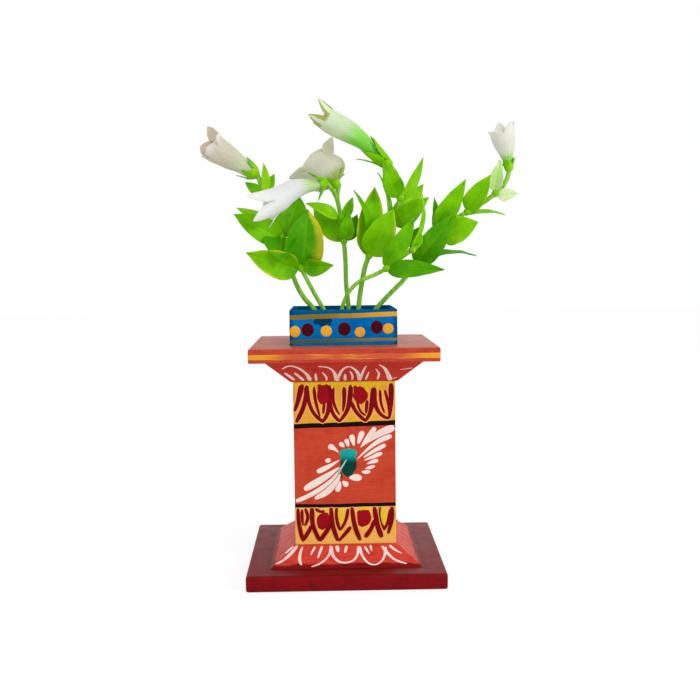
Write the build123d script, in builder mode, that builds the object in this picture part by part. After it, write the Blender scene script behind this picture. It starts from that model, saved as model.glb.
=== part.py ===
"""A small painted wooden tulsi pedestal with a plastic flower spray standing in its box.

Millimetres. The origin is the middle of the underside, +X is to the right, +Y away from the front
and +Z up.
"""
from build123d import *
import os
from math import asin, cos, degrees, radians, sin, sqrt, tan

os.makedirs("parts", exist_ok=True)

# ---- stand ----------------------------------------------------------------------------------
base_width = 100.0
base_thick = 8.0
skirt_foot = 77.5
skirt_height = 9.0
pillar_width = 52.0
pillar_height = 84.5
skirt_ledge = 0.6          # how far the skirt's top stands out past the pillar
capital_ledge = 1.2        # how far the capital's foot stands out past the pillar
capital_width = 80.0
capital_height = 11.5
board_width = 94.0
board_thick = 7.0
box_width = 54.5
box_height = 18.0
box_wall = 3.0
box_floor = 3.0
edge_round = 1.2           # worn corners of the boards
small_round = 0.5

# ---- nails ----------------------------------------------------------------------------------
nail_radius = 0.9
nail_head_radius = 2.0
nail_head_thick = 0.8
nail_sink = 0.4            # how deep a nail's head lies under the surface
nail_grip = 12.0           # how far a nail reaches into the pillar
nail_spacing = 26.0
brad_radius = 0.5
brad_length = 9.0
brad_inset = 0.25          # how far the brads are from the box's rim and foot, as a share of its height
nail_fit = 0.03            # clearance round a nail in its hole

# ---- plug and stems -------------------------------------------------------------------------
plug_height = 8.0
plug_gap = 0.3             # between the plug and the box walls
stem_depth = 6.5           # how far a stem is pushed into the plug
stem_fit = 0.05            # clearance round a stem in its hole
collar_wall = 0.9
collar_height = 3.2
bend_share = 0.45          # how much of its shorter run a stem's bend takes up

# ---- leaves and flowers ---------------------------------------------------------------------
leaf_thick = 0.6
leaf_cup = 11.0            # radius of the leaf's curve across its width
leaf_bow = 34.0            # radius of the leaf's curve along its length
leaf_foot = 1.6            # width of the leaf where it leaves its collar
leaf_belly = (0.10, 0.66)  # the outline's control points, as shares of length and width: the one
leaf_taper = (0.66, 0.62)  # near the foot fills its belly, the other draws it in to the tip
petal_thick = 0.6
calyx_floor = 2.4
calyx_wall = 0.7
calyx_height = 5.0
flower_fit = 0.1           # clearance between a flower's tube and its cup
sepal_seat = 0.8           # how far outside the cup's bore a sepal's foot lies
sepal_root = 1.6           # how far below the cup's rim it starts
lobe_count = 5
notch_width = 0.85         # share of the rim that the notches between the lobes take

skirt_bottom = base_thick
pillar_bottom = skirt_bottom + skirt_height
pillar_top = pillar_bottom + pillar_height
board_bottom = pillar_top + capital_height
box_bottom = board_bottom + board_thick
box_top = box_bottom + box_height
plug_bottom = box_bottom + box_floor
plug_top = plug_bottom + plug_height
box_inside = box_width - 2 * box_wall


def save(piece, name):
    """Label a finished piece and write it to its own file."""
    piece.label = name
    export_step(piece, f"parts/{name}.step")


# ---- base, skirt, pillar and capital --------------------------------------------------------
with BuildPart() as base_nail_holes:
    with Locations((-nail_spacing / 2, 0, 0), (nail_spacing / 2, 0, 0)):
        Cylinder(nail_radius + nail_fit, pillar_bottom + nail_grip,
                 align=(Align.CENTER, Align.CENTER, Align.MIN))
        Cylinder(nail_head_radius + nail_fit, nail_sink + nail_head_thick,
                 align=(Align.CENTER, Align.CENTER, Align.MIN))

with BuildPart() as capital_nail_holes:
    with Locations((0, -nail_spacing / 2, box_bottom), (0, nail_spacing / 2, box_bottom)):
        Cylinder(nail_radius + nail_fit, board_thick + capital_height + nail_grip,
                 align=(Align.CENTER, Align.CENTER, Align.MAX))
        Cylinder(nail_head_radius + nail_fit, nail_sink + nail_head_thick,
                 align=(Align.CENTER, Align.CENTER, Align.MAX))

with BuildPart() as base_board:
    Box(base_width, base_width, base_thick, align=(Align.CENTER, Align.CENTER, Align.MIN))
    fillet(base_board.edges().filter_by(Axis.Z), edge_round)
    fillet(base_board.faces().sort_by(Axis.Z)[-1].edges(), edge_round)
    add(base_nail_holes.part, mode=Mode.SUBTRACT)
save(base_board.part, "base_board")

with BuildPart() as skirt:
    with BuildSketch(Plane.XY.offset(skirt_bottom)):
        Rectangle(skirt_foot, skirt_foot)
    with BuildSketch(Plane.XY.offset(pillar_bottom)):
        Rectangle(pillar_width + 2 * skirt_ledge, pillar_width + 2 * skirt_ledge)
    loft()
    add(base_nail_holes.part, mode=Mode.SUBTRACT)
save(skirt.part, "skirt")

with BuildPart() as pillar:
    with BuildSketch(Plane.XY.offset(pillar_bottom)):
        Rectangle(pillar_width, pillar_width)
    extrude(amount=pillar_height)
    fillet(pillar.edges().filter_by(Axis.Z), small_round)
    add(base_nail_holes.part, mode=Mode.SUBTRACT)
    add(capital_nail_holes.part, mode=Mode.SUBTRACT)
save(pillar.part, "pillar")

with BuildPart() as capital_block:
    with BuildSketch(Plane.XY.offset(pillar_top)):
        Rectangle(pillar_width + 2 * capital_ledge, pillar_width + 2 * capital_ledge)
    with BuildSketch(Plane.XY.offset(board_bottom)):
        Rectangle(capital_width, capital_width)
    loft()
    add(capital_nail_holes.part, mode=Mode.SUBTRACT)
save(capital_block.part, "capital_block")

with BuildPart() as capital_board:
    with BuildSketch(Plane.XY.offset(board_bottom)):
        Rectangle(board_width, board_width)
    extrude(amount=board_thick)
    fillet(capital_board.edges().filter_by(Axis.Z), edge_round)
    fillet(capital_board.faces().sort_by(Axis.Z)[-1].edges(), small_round)
    add(capital_nail_holes.part, mode=Mode.SUBTRACT)
save(capital_board.part, "capital_board")


def headed_nails(spots, length, plane):
    """Identical nails with their heads on the given plane and their points along its normal."""
    with BuildPart(plane) as nails:
        with Locations(*spots):
            Cylinder(nail_radius, length, align=(Align.CENTER, Align.CENTER, Align.MIN))
            Cylinder(nail_head_radius, nail_head_thick, align=(Align.CENTER, Align.CENTER, Align.MIN))
    return nails.part


base_nails = headed_nails(
    [(-nail_spacing / 2, 0), (nail_spacing / 2, 0)],
    pillar_bottom + nail_grip - nail_sink - nail_fit,
    Plane.XY.offset(nail_sink),
)
save(base_nails, "base_nails")

capital_nails = headed_nails(
    [(0, -nail_spacing / 2), (0, nail_spacing / 2)],
    board_thick + capital_height + nail_grip - nail_sink - nail_fit,
    Plane(origin=(0, 0, box_bottom - nail_sink), x_dir=(1, 0, 0), z_dir=(0, 0, -1)),
)
save(capital_nails, "capital_nails")

# ---- the open box ---------------------------------------------------------------------------
brad_x = box_width / 2 - box_wall / 2
brad_rows = (box_bottom + box_height * brad_inset, box_top - box_height * brad_inset)
brad_spots = [(side * brad_x, row) for side in (-1, 1) for row in brad_rows]


def brads(radius, length):
    """The eight brads: four in from the front face and four in from the back face."""
    with BuildPart() as row:
        for side in (-1, 1):
            face = Plane(origin=(0, side * box_width / 2, 0), x_dir=(1, 0, 0), z_dir=(0, -side, 0))
            spots = [face.to_local_coords(Vector(x, side * box_width / 2, z)) for x, z in brad_spots]
            with BuildSketch(face):
                with Locations(*[(spot.X, spot.Y) for spot in spots]):
                    Circle(radius)
            extrude(amount=length)
    return row.part


brad_holes = brads(brad_radius + nail_fit, brad_length + nail_fit)


def box_board(name, centre, size):
    """One board of the box, its top edges rounded by wear, drilled for the brads."""
    with BuildPart() as board:
        with Locations(centre):
            Box(*size, align=(Align.CENTER, Align.CENTER, Align.MIN))
        fillet(board.faces().sort_by(Axis.Z)[-1].edges(), small_round)
        add(brad_holes, mode=Mode.SUBTRACT)
    save(board.part, name)


wall_middle = box_width / 2 - box_wall / 2
box_board("planter_front", (0, -wall_middle, box_bottom), (box_width, box_wall, box_height))
box_board("planter_back", (0, wall_middle, box_bottom), (box_width, box_wall, box_height))
box_board("planter_left", (-wall_middle, 0, box_bottom), (box_wall, box_inside, box_height))
box_board("planter_right", (wall_middle, 0, box_bottom), (box_wall, box_inside, box_height))
save(brads(brad_radius, brad_length), "planter_brads")

with BuildPart() as planter_floor:
    with BuildSketch(Plane.XY.offset(box_bottom)):
        Rectangle(box_inside, box_inside)
    extrude(amount=box_floor)
save(planter_floor.part, "planter_floor")


# ---- stems ----------------------------------------------------------------------------------
def grown(*points):
    """Points of the plant, measured from the middle of the plug's top, in the stand's frame."""
    return [Vector(x, y, z + plug_top) for x, y, z in points]


def bend_radii(points):
    """The largest smooth bend at each inner point of a stem's route."""
    radii = []
    for before, here, after in zip(points, points[1:], points[2:]):
        turn = (here - before).get_angle(after - here)
        shorter = min((here - before).length, (after - here).length)
        radii.append(bend_share * shorter / tan(radians(turn / 2)))
    return radii


def tube(points, radius):
    """A round stem along straight runs joined by tangent bends."""
    with BuildPart() as stem:
        with BuildLine() as route:
            if len(points) > 2:
                FilletPolyline(*points, radius=bend_radii(points))
            else:
                Line(*points)
        with BuildSketch(Plane(origin=route.line @ 0, z_dir=route.line % 0)):
            Circle(radius)
        sweep()
    return stem.part


def stem_points(root, *points):
    """A stem's route: pushed into the plug at root, then up through the given points."""
    return grown((root[0], root[1], -stem_depth), *points)


routes = {
    "stem_a": (1.3, [stem_points(
        (-11.5, 4.0), (-13.8, 4.0, 5.0), (-21.0, 4.0, 12.5), (-25.0, 4.0, 20.5),
        (-32.3, 5.0, 43.0), (-39.0, 6.0, 61.5), (-42.0, 6.0, 71.0), (-44.5, 6.0, 78.5))]),
    "stem_b": (1.1, [stem_points(
        (-8.0, -9.0), (-9.0, -9.0, 5.0), (-14.0, -9.0, 13.5), (-20.0, -9.0, 25.0),
        (-23.5, -9.0, 32.0), (-29.0, -9.0, 39.5), (-32.5, -8.5, 48.5))]),
    "stem_c": (1.05, [stem_points(
        (-1.5, -11.0), (-1.0, -11.0, 6.5), (3.2, -11.0, 16.0), (8.5, -11.5, 21.0),
        (20.0, -12.0, 25.6), (28.0, -12.0, 31.0), (40.0, -12.0, 39.5))]),
    "stem_d": (1.2, [
        stem_points((4.2, 3.0), (3.4, 3.0, 7.0), (2.1, 3.0, 18.0), (1.9, 3.0, 33.5),
                    (1.0, 3.0, 44.0), (-0.4, 3.4, 56.0), (-2.3, 5.0, 65.5), (-1.0, 6.4, 72.0)),
        grown((-0.5, 3.4, 57.0), (-2.8, 0.5, 67.0), (-8.8, -5.8, 73.2)),
    ]),
    "stem_e": (1.3, [stem_points(
        (8.0, -1.0), (8.4, -1.0, 6.5), (9.8, -1.0, 17.0), (12.0, -1.0, 28.5), (15.0, -0.5, 36.0),
        (22.5, 1.0, 46.0), (28.0, 2.0, 53.5), (31.8, 2.0, 66.0), (30.0, 1.5, 76.0),
        (25.4, 0.3, 82.0))]),
    "stem_f": (1.25, [stem_points(
        (15.0, 3.0), (16.0, 3.0, 4.0), (26.0, 3.0, 14.5), (34.5, 4.0, 22.5), (40.0, 5.0, 32.0),
        (49.5, 5.0, 45.0), (58.0, 5.0, 51.8), (69.0, 5.0, 58.0), (80.0, 5.0, 64.5),
        (88.0, 5.0, 72.0), (90.0, 5.0, 80.0))]),
}


def stem_solid(name, extra=0.0):
    """A stem with its branches, thickened by extra."""
    radius, runs = routes[name]
    with BuildPart() as stem:
        for run in runs:
            add(tube(run, radius + extra))
    return stem.part


stem_bores = {}
for stem_name in routes:
    save(stem_solid(stem_name), stem_name)
    stem_bores[stem_name] = stem_solid(stem_name, stem_fit)

plug_width = box_inside - 2 * plug_gap
with BuildPart() as foam_plug:
    with BuildSketch(Plane.XY.offset(plug_bottom)):
        Rectangle(plug_width, plug_width)
    extrude(amount=plug_height)
    for bore in stem_bores.values():
        add(bore, mode=Mode.SUBTRACT)
save(foam_plug.part, "foam_plug")


# ---- leaves ---------------------------------------------------------------------------------
def leaf_blade(length, width):
    """A pointed oval leaf: foot at the origin, tip along +X, hollow side to +Z, bowed and cupped."""
    drop = sqrt(leaf_bow ** 2 - (length / 2) ** 2)
    sweep_angle = 2 * degrees(asin(length / (2 * leaf_bow)))
    rise = leaf_cup - sqrt(leaf_cup ** 2 - (width / 2) ** 2)
    foot_plane = Plane(origin=(0, 0, 0), x_dir=(0, 1, 0), z_dir=(drop, 0, length / 2))
    with BuildPart() as blade:
        with BuildSketch(foot_plane):
            with BuildLine():
                under = ThreePointArc((-width / 2, rise), (0, 0), (width / 2, rise))
                over = ThreePointArc((-width / 2, rise + leaf_thick), (0, leaf_thick),
                                     (width / 2, rise + leaf_thick))
                Line(under @ 0, over @ 0)
                Line(under @ 1, over @ 1)
            make_face()
        revolve(axis=Axis((length / 2, 0, -drop), (0, 1, 0)), revolution_arc=sweep_angle)
        with BuildSketch(Plane.XY):
            with BuildLine():
                Bezier((0, leaf_foot / 2), (length * leaf_belly[0], width * leaf_belly[1]),
                       (length * leaf_taper[0], width * leaf_taper[1]), (length, 0))
                Line((0, leaf_foot / 2), (0, 0))
                Line((0, 0), (length, 0))
            make_face()
            mirror(about=Plane.XZ)
        extrude(amount=leaf_bow, both=True, mode=Mode.INTERSECT)
    return blade.part


def leaf_plane(foot, tip, turn):
    """Where a leaf stands: foot to tip is its length, turn rolls its hollow side off the front."""
    along = (tip - foot).normalized()
    front = Vector(0, -1, 0)
    facing = (front - along * front.dot(along)).normalized()
    facing = facing.rotate(Axis((0, 0, 0), along), turn)
    return Plane(origin=foot, x_dir=along, z_dir=facing)


def whorl(name, stem_name, run, part_way, leaves):
    """A collar part of the way along one run of its stem, its leaves moulded on.

    Each leaf is the place of its tip, its width and its turn, and grows from the collar's side
    that faces the tip.
    """
    radius, (points, *_) = routes[stem_name]
    middle = points[run] + (points[run + 1] - points[run]) * part_way
    upward = (points[run + 1] - points[run]).normalized()
    with BuildPart() as collar:
        with BuildSketch(Plane(origin=middle, z_dir=upward)):
            Circle(radius + collar_wall)
        extrude(amount=collar_height / 2, both=True)
        for tip, width, turn in leaves:
            end = grown(tip)[0]
            reach = end - middle
            side = (reach - upward * upward.dot(reach)).normalized()
            foot = middle + side * (radius + collar_wall / 2)
            add(leaf_plane(foot, end, turn).location * leaf_blade((end - foot).length, width))
        add(stem_bores[stem_name], mode=Mode.SUBTRACT)
    save(collar.part, name)


whorl("leaves_a_top", "stem_a", 5, 0.75, [
    ((-41.0, 6.0, 84.0), 4.5, 20),
    ((-50.8, 2.5, 73.5), 5.0, 0),
    ((-35.5, 10.0, 78.5), 5.0, 0),
])
whorl("leaves_b_low", "stem_b", 3, 0.45, [
    ((-49.5, -15.0, 35.2), 16.0, -8),
    ((-13.8, -9.5, 58.8), 16.0, 0),
    ((-4.5, -16.5, 29.5), 9.0, 20),
])
whorl("leaves_b_top", "stem_b", 5, 0.5, [
    ((-54.5, -14.0, 55.5), 13.0, 0),
    ((-55.5, 1.0, 60.0), 8.0, 30),
    ((-20.0, 0.0, 65.0), 12.0, 0),
    ((-27.0, -21.0, 47.0), 8.0, 20),
])
whorl("leaves_c_low", "stem_c", 4, 0.35, [
    ((37.3, -15.0, 54.0), 9.5, 10),
    ((52.5, -19.0, 26.6), 9.5, -12),
])
whorl("leaves_c_top", "stem_c", 5, 0.70, [
    ((41.4, -10.0, 66.5), 8.0, 70),
    ((40.5, -9.0, 49.0), 8.0, 0),
])
whorl("leaves_d_low", "stem_d", 3, 0.85, [
    ((-15.0, 18.5, 61.5), 10.5, 0),
    ((4.0, -3.5, 57.0), 6.5, 0),
    ((8.6, 8.0, 56.5), 6.5, 0),
])
whorl("leaves_d_top", "stem_d", 4, 0.88, [
    ((6.3, 5.5, 65.5), 5.0, 25),
    ((-18.8, -3.0, 62.0), 7.0, 35),
])
whorl("leaves_e_low", "stem_e", 3, 0.8, [
    ((6.4, -1.5, 69.0), 9.0, 60),
    ((18.1, 9.0, 71.0), 12.0, 0),
    ((27.0, -7.0, 58.5), 14.0, 0),
    ((17.5, 4.0, 59.5), 6.0, 30),
])
whorl("leaves_e_middle", "stem_e", 5, 0.7, [
    ((45.8, -5.0, 64.4), 11.0, 0),
    ((44.0, 14.5, 70.5), 8.0, 0),
    ((19.3, 6.0, 78.5), 6.0, 65),
])
whorl("leaves_e_top", "stem_e", 6, 0.88, [
    ((21.5, -9.0, 83.0), 10.0, 0),
    ((43.8, 5.0, 86.3), 5.0, 25),
])
whorl("leaves_f_low", "stem_f", 3, 0.8, [
    ((59.3, -4.0, 56.0), 14.0, 0),
    ((73.9, 13.0, 33.4), 8.0, -70),
])
whorl("leaves_f_middle", "stem_f", 5, 0.2, [
    ((72.6, 1.0, 51.5), 15.0, 0),
    ((65.8, 0.0, 74.0), 13.0, 0),
    ((51.6, 10.0, 65.0), 6.0, 60),
])
whorl("leaves_f_top", "stem_f", 6, 0.85, [
    ((78.5, -3.0, 76.0), 9.5, 0),
    ((73.4, 11.0, 73.0), 6.0, 60),
    ((89.3, 12.0, 55.4), 6.0, -70),
])
whorl("leaves_f_bract", "stem_f", 8, 0.3, [
    ((85.3, 1.5, 83.0), 8.0, -10),
    ((94.6, 4.0, 66.6), 4.5, 0),
])


# ---- flowers and their cups -----------------------------------------------------------------
def trumpet(length, throat, neck, swell, mouth, notch):
    """A thin five-lobed trumpet standing on its closed end at the origin.

    It is straight up to neck, then opens towards its mouth, sooner with a larger swell, and its
    notches reach notch deep into the rim.
    """
    tip = length + notch / 2
    inside = throat - petal_thick
    lip = mouth - petal_thick

    def wall_curve(foot, rim):
        rise = tip - neck
        grow = rim - foot
        return Bezier((foot, neck), (foot + grow * swell, neck + rise / 3),
                      (foot + grow * min(1.0, swell + 1 / 3), neck + rise * 2 / 3), (rim, tip))

    with BuildPart() as flower:
        with BuildSketch(Plane.XZ):
            with BuildLine():
                wall_curve(throat, mouth)
                wall_curve(inside, lip)
                Polyline((inside, neck), (inside, petal_thick), (0, petal_thick), (0, 0),
                         (throat, 0), (throat, neck))
                Line((lip, tip), (mouth, tip))
            make_face()
        revolve(axis=Axis.Z)
        for cut in range(lobe_count):
            radial = Vector(1, 0, 0).rotate(Axis.Z, cut * 360 / lobe_count)
            across = Vector(0, 1, 0).rotate(Axis.Z, cut * 360 / lobe_count)
            half = mouth * tan(radians(180 / lobe_count)) * notch_width
            with BuildSketch(Plane(origin=(0, 0, 0), x_dir=across, z_dir=radial)):
                with BuildLine():
                    Polyline((0, tip - notch), (half, tip + petal_thick), (-half, tip + petal_thick),
                             (0, tip - notch))
                make_face()
            extrude(amount=2 * mouth, mode=Mode.SUBTRACT)
    return flower.part


def cup(throat, foot_radius, sepal):
    """A green cup that holds a flower's closed end, with five sepals standing off it."""
    sepal_length, sepal_width, spread = sepal
    bore = throat + flower_fit
    rim = bore + calyx_wall
    with BuildPart() as calyx:
        with BuildSketch(Plane.XZ):
            with BuildLine():
                Polyline((rim, calyx_height), (bore, calyx_height), (bore, calyx_floor),
                         (0, calyx_floor), (0, 0), (foot_radius, 0))
                Bezier((foot_radius, 0), (rim, calyx_height / 3), (rim, calyx_height))
            make_face()
        revolve(axis=Axis.Z)
        for place in range(lobe_count):
            out = Vector(1, 0, 0).rotate(Axis.Z, (place + 0.5) * 360 / lobe_count)
            lean = radians(spread)
            foot = out * (bore + sepal_seat) + Vector(0, 0, calyx_height - sepal_root)
            along = out * sin(lean) + Vector(0, 0, cos(lean))
            inward = Vector(0, 0, sin(lean)) - out * cos(lean)
            blade = leaf_blade(sepal_length, sepal_width)
            add(Plane(origin=foot, x_dir=along, z_dir=inward).location * blade)
    return calyx.part


def bloom(name, stem_name, foot, mouth_middle, sepal, throat, neck, swell, mouth, notch):
    """A flower in its cup, from the end of its stem to the middle of its mouth."""
    start, end = grown(foot, mouth_middle)
    seat = Plane(origin=start, z_dir=end - start)
    length = (end - start).length - calyx_floor
    foot_radius = routes[stem_name][0] + collar_wall
    with BuildPart() as calyx:
        add(seat.location * cup(throat, foot_radius, sepal))
        add(stem_bores[stem_name], mode=Mode.SUBTRACT)
    save(calyx.part, f"calyx_{name}")
    with BuildPart() as flower:
        add(seat.offset(calyx_floor).location * trumpet(length, throat, neck, swell, mouth, notch))
    save(flower.part, f"flower_{name}")


bloom("left", "stem_a", (-43.8, 6.0, 77.0), (-68.6, 3.0, 92.6),
      sepal=(8.0, 3.2, 35), throat=3.4, neck=3.0, swell=0.45, mouth=9.0, notch=5.0)
bloom("low", "stem_d", (-7.3, -5.3, 73.0), (-38.7, -16.0, 60.3),
      sepal=(6.5, 2.4, 50), throat=2.6, neck=4.0, swell=0.75, mouth=7.0, notch=9.0)
bloom("middle", "stem_d", (-1.2, 6.2, 70.7), (-17.0, 11.0, 86.3),
      sepal=(5.0, 2.4, 62), throat=2.4, neck=2.7, swell=0.5, mouth=14.0, notch=8.0)
bloom("top", "stem_e", (26.5, 0.6, 81.0), (-11.1, -10.0, 107.3),
      sepal=(15.0, 5.0, 18), throat=2.3, neck=10.0, swell=0.8, mouth=7.2, notch=7.0)
bloom("right", "stem_f", (89.8, 5.0, 78.4), (85.2, 3.0, 100.2),
      sepal=(4.0, 2.0, 30), throat=1.9, neck=3.5, swell=0.2, mouth=7.7, notch=6.0)
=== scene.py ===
# %% [markdown]
# # A painted tulsi pedestal with a plastic flower spray
# The real thing is a little altar stand. It is nailed up from softwood, painted by hand in thick gloss
# enamel, and a moulded spray of leaves and trumpet flowers stands in the open box on top.
# The measured solids come in first. Every piece made here is laid over the solid that it stands for,
# so the numbers below are in millimetres in the same frame: X to the right, Y away from the front, Z up.

# %% Load the measured part
import bpy
import bmesh
import math
from mathutils import Matrix, Vector


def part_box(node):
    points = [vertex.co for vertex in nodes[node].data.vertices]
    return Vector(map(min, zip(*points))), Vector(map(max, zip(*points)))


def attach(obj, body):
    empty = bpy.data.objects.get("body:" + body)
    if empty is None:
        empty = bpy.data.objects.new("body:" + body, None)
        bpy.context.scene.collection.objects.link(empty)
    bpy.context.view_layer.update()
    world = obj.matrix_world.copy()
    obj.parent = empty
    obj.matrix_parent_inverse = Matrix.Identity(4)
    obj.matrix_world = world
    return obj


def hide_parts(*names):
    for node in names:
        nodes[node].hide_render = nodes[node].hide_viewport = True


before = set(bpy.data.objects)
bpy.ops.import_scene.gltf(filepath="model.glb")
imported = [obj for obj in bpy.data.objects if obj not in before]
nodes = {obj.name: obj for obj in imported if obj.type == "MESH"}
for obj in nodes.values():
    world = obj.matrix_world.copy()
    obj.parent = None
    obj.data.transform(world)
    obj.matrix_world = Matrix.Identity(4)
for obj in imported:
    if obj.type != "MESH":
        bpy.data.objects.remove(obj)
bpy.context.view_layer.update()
mm = 0.001

# %% [markdown]
# ## Working as by hand
# The modelling below uses the same operators as the menus. They act on whatever is selected, so these
# small helpers clear the selection first, pick points or faces by where they are, and apply modifiers.

# %% Small helpers
def fresh_start():
    """Leave edit mode and deselect everything, so that the next operator touches nothing old."""
    active = bpy.context.view_layer.objects.active
    if active is not None and active.mode != "OBJECT":
        bpy.ops.object.mode_set(mode="OBJECT")
    bpy.ops.object.select_all(action="DESELECT")


def work_on(piece):
    """Make one piece the active and only selected one."""
    fresh_start()
    piece.select_set(True)
    bpy.context.view_layer.objects.active = piece


def pick(piece, kind, wanted):
    """In edit mode, select just the points, edges or faces whose middle the test wants."""
    bpy.ops.mesh.select_mode(type=kind)
    bpy.ops.mesh.select_all(action="DESELECT")
    mesh = bmesh.from_edit_mesh(piece.data)
    if kind == "VERT":
        for point in mesh.verts:
            point.select = wanted(point.co)
    elif kind == "EDGE":
        for edge in mesh.edges:
            edge.select = wanted((edge.verts[0].co + edge.verts[1].co) / 2,
                                 (edge.verts[1].co - edge.verts[0].co).normalized())
    else:
        for face in mesh.faces:
            face.select = wanted(face.calc_center_median(), face.normal)
    mesh.select_flush_mode()
    bmesh.update_edit_mesh(piece.data)


def modify(piece, kind, **settings):
    """Add a modifier, set it up and apply it."""
    work_on(piece)
    modifier = piece.modifiers.new(kind.title(), kind)
    for setting, value in settings.items():
        setattr(modifier, setting, value)
    bpy.ops.object.modifier_apply(modifier=modifier.name)


def settle(piece, matrix=None):
    """Move a piece by a matrix and write its place into its mesh."""
    work_on(piece)
    if matrix is not None:
        piece.matrix_world = matrix @ piece.matrix_world
    bpy.ops.object.transform_apply(location=True, rotation=True, scale=True)
    return piece


def twin(piece):
    """A copy with a mesh of its own."""
    double = piece.copy()
    double.data = piece.data.copy()
    bpy.context.scene.collection.objects.link(double)
    return double


def gather(pieces):
    """Join several pieces into the first."""
    fresh_start()
    for piece in pieces:
        piece.select_set(True)
    bpy.context.view_layer.objects.active = pieces[0]
    if len(pieces) > 1:
        bpy.ops.object.join()
    return pieces[0]


def smooth(piece, angle=40):
    """Shade a piece smooth, with edges sharper than the angle left as edges."""
    work_on(piece)
    bpy.ops.object.shade_smooth_by_angle(angle=math.radians(angle))


def hand_in(piece, name, body, finish, stands_for=()):
    """Name a finished piece, give it its finish and fix it to its body."""
    piece.name = name
    piece.data.name = name
    piece.data.materials.clear()
    piece.data.materials.append(finish)
    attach(piece, body)
    if stands_for:
        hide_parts(*stands_for)
    print(f"{name}: {len(piece.data.polygons)} faces")


def tone(red, green, blue):
    """A colour as the eye sees it, from 0 to 1, turned into the linear values that shaders use."""
    return tuple(((c + 0.055) / 1.055) ** 2.4 if c > 0.04045 else c / 12.92
                 for c in (red, green, blue)) + (1.0,)


# %% [markdown]
# ## Node helpers
# A material is a small network. Each of these helpers adds one node or two, with their values and wires in
# one line, and most give back the socket that is wanted. Each finish below then reads like a recipe.

# %% Building node networks
def wire(tree, made, wires):
    """Set a node's inputs: a socket is linked, anything else is its value."""
    for socket, value in wires.items():
        if isinstance(value, bpy.types.NodeSocket):
            tree.links.new(value, made.inputs[socket])
        else:
            made.inputs[socket].default_value = value
    return made


def add(tree, kind, wires=None, **settings):
    """Add a shader node with its settings and wires."""
    made = tree.nodes.new("ShaderNode" + kind)
    for setting, value in settings.items():
        setattr(made, setting, value)
    return wire(tree, made, wires or {})


def maths(tree, operation, *values, clamp=False):
    """One Math node, as a socket."""
    return add(tree, "Math", dict(enumerate(values)), operation=operation, use_clamp=clamp).outputs[0]


def vector_maths(tree, operation, *values, output="Vector"):
    """One Vector Math node, as a socket."""
    return add(tree, "VectorMath", dict(enumerate(values)), operation=operation).outputs[output]


def parts_of(tree, vector):
    """The X, Y and Z of a vector, as three sockets."""
    return add(tree, "SeparateXYZ", {"Vector": vector}).outputs


def written(tree, name, output="Fac"):
    """What was written on the mesh's points under a name, as a socket."""
    return add(tree, "Attribute", attribute_name=name).outputs[output]


def blend_colors(tree, share, first, second):
    """One colour Mix node, as a socket. Its two colours are inputs 6 and 7."""
    return add(tree, "Mix", {0: share, 6: first, 7: second}, data_type="RGBA").outputs[2]


def step(tree, value, start, end):
    """A smooth rise from 0 at start to 1 at end."""
    return add(tree, "MapRange", {"Value": value, "From Min": start, "From Max": end},
               interpolation_type="SMOOTHSTEP").outputs["Result"]


def between(tree, level, low, high, soft):
    """1 where a level lies between two heights and 0 elsewhere, with soft edges."""
    return maths(tree, "MULTIPLY", step(tree, level, low - soft, low + soft),
                 step(tree, level, high + soft, high - soft))


def off_middle(tree, choice, x, y):
    """The MAXIMUM or the MINIMUM of two distances from the middle."""
    return maths(tree, choice, maths(tree, "ABSOLUTE", x), maths(tree, "ABSOLUTE", y))


def noise(tree, vector, scale, detail=3.0, roughness=0.5):
    """Plain noise between 0 and 1, with scale in waves to the metre."""
    return add(tree, "TexNoise", {"Vector": vector, "Scale": scale, "Detail": detail,
                                  "Roughness": roughness}).outputs["Fac"]


def start_group(name, inputs, outputs):
    """A new node group and its two end nodes. Inputs and outputs are rows of name, kind, value."""
    tree = bpy.data.node_groups.new(name, "ShaderNodeTree")
    for title, kind, value in inputs:
        socket = tree.interface.new_socket(name=title, in_out="INPUT", socket_type="NodeSocket" + kind)
        if value is not None:
            socket.default_value = value
    for title, kind in outputs:
        tree.interface.new_socket(name=title, in_out="OUTPUT", socket_type="NodeSocket" + kind)
    return tree, tree.nodes.new("NodeGroupInput"), tree.nodes.new("NodeGroupOutput")


def use_group(tree, group, wires):
    """Place a node group in a material."""
    return add(tree, "Group", wires, node_tree=group)


def start_finish(name, **constants):
    """A new material: its tree, its shader and its Object coordinates."""
    finish = bpy.data.materials.new(name)
    finish.use_nodes = True
    tree = finish.node_tree
    shader = tree.nodes["Principled BSDF"]
    for socket, value in constants.items():
        shader.inputs[socket.replace("_", " ")].default_value = value
    coordinates = tree.nodes.new("ShaderNodeTexCoord").outputs["Object"]
    return finish, tree, shader, coordinates


def complete(tree, shader, color, height, roughness=None):
    """Give a finish its colour, its roughness if that varies, and its relief from a height in metres."""
    bump = add(tree, "Bump", {"Height": height, "Strength": 1.0, "Distance": 1.0})
    wire(tree, shader, {"Base Color": color, "Normal": bump.outputs["Normal"]})
    if roughness is not None:
        wire(tree, shader, {"Roughness": roughness})


# %% [markdown]
# ## Gloss enamel, laid on with a brush
# The paint on the real stand is thick oil enamel. It keeps the furrows of the bristles, it is thinner and
# duller in some places than in others, and where it is thin the coat below shows. The group makes
# furrows by stretching noise along the brush, and a slow noise makes the thick and thin places.

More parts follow.
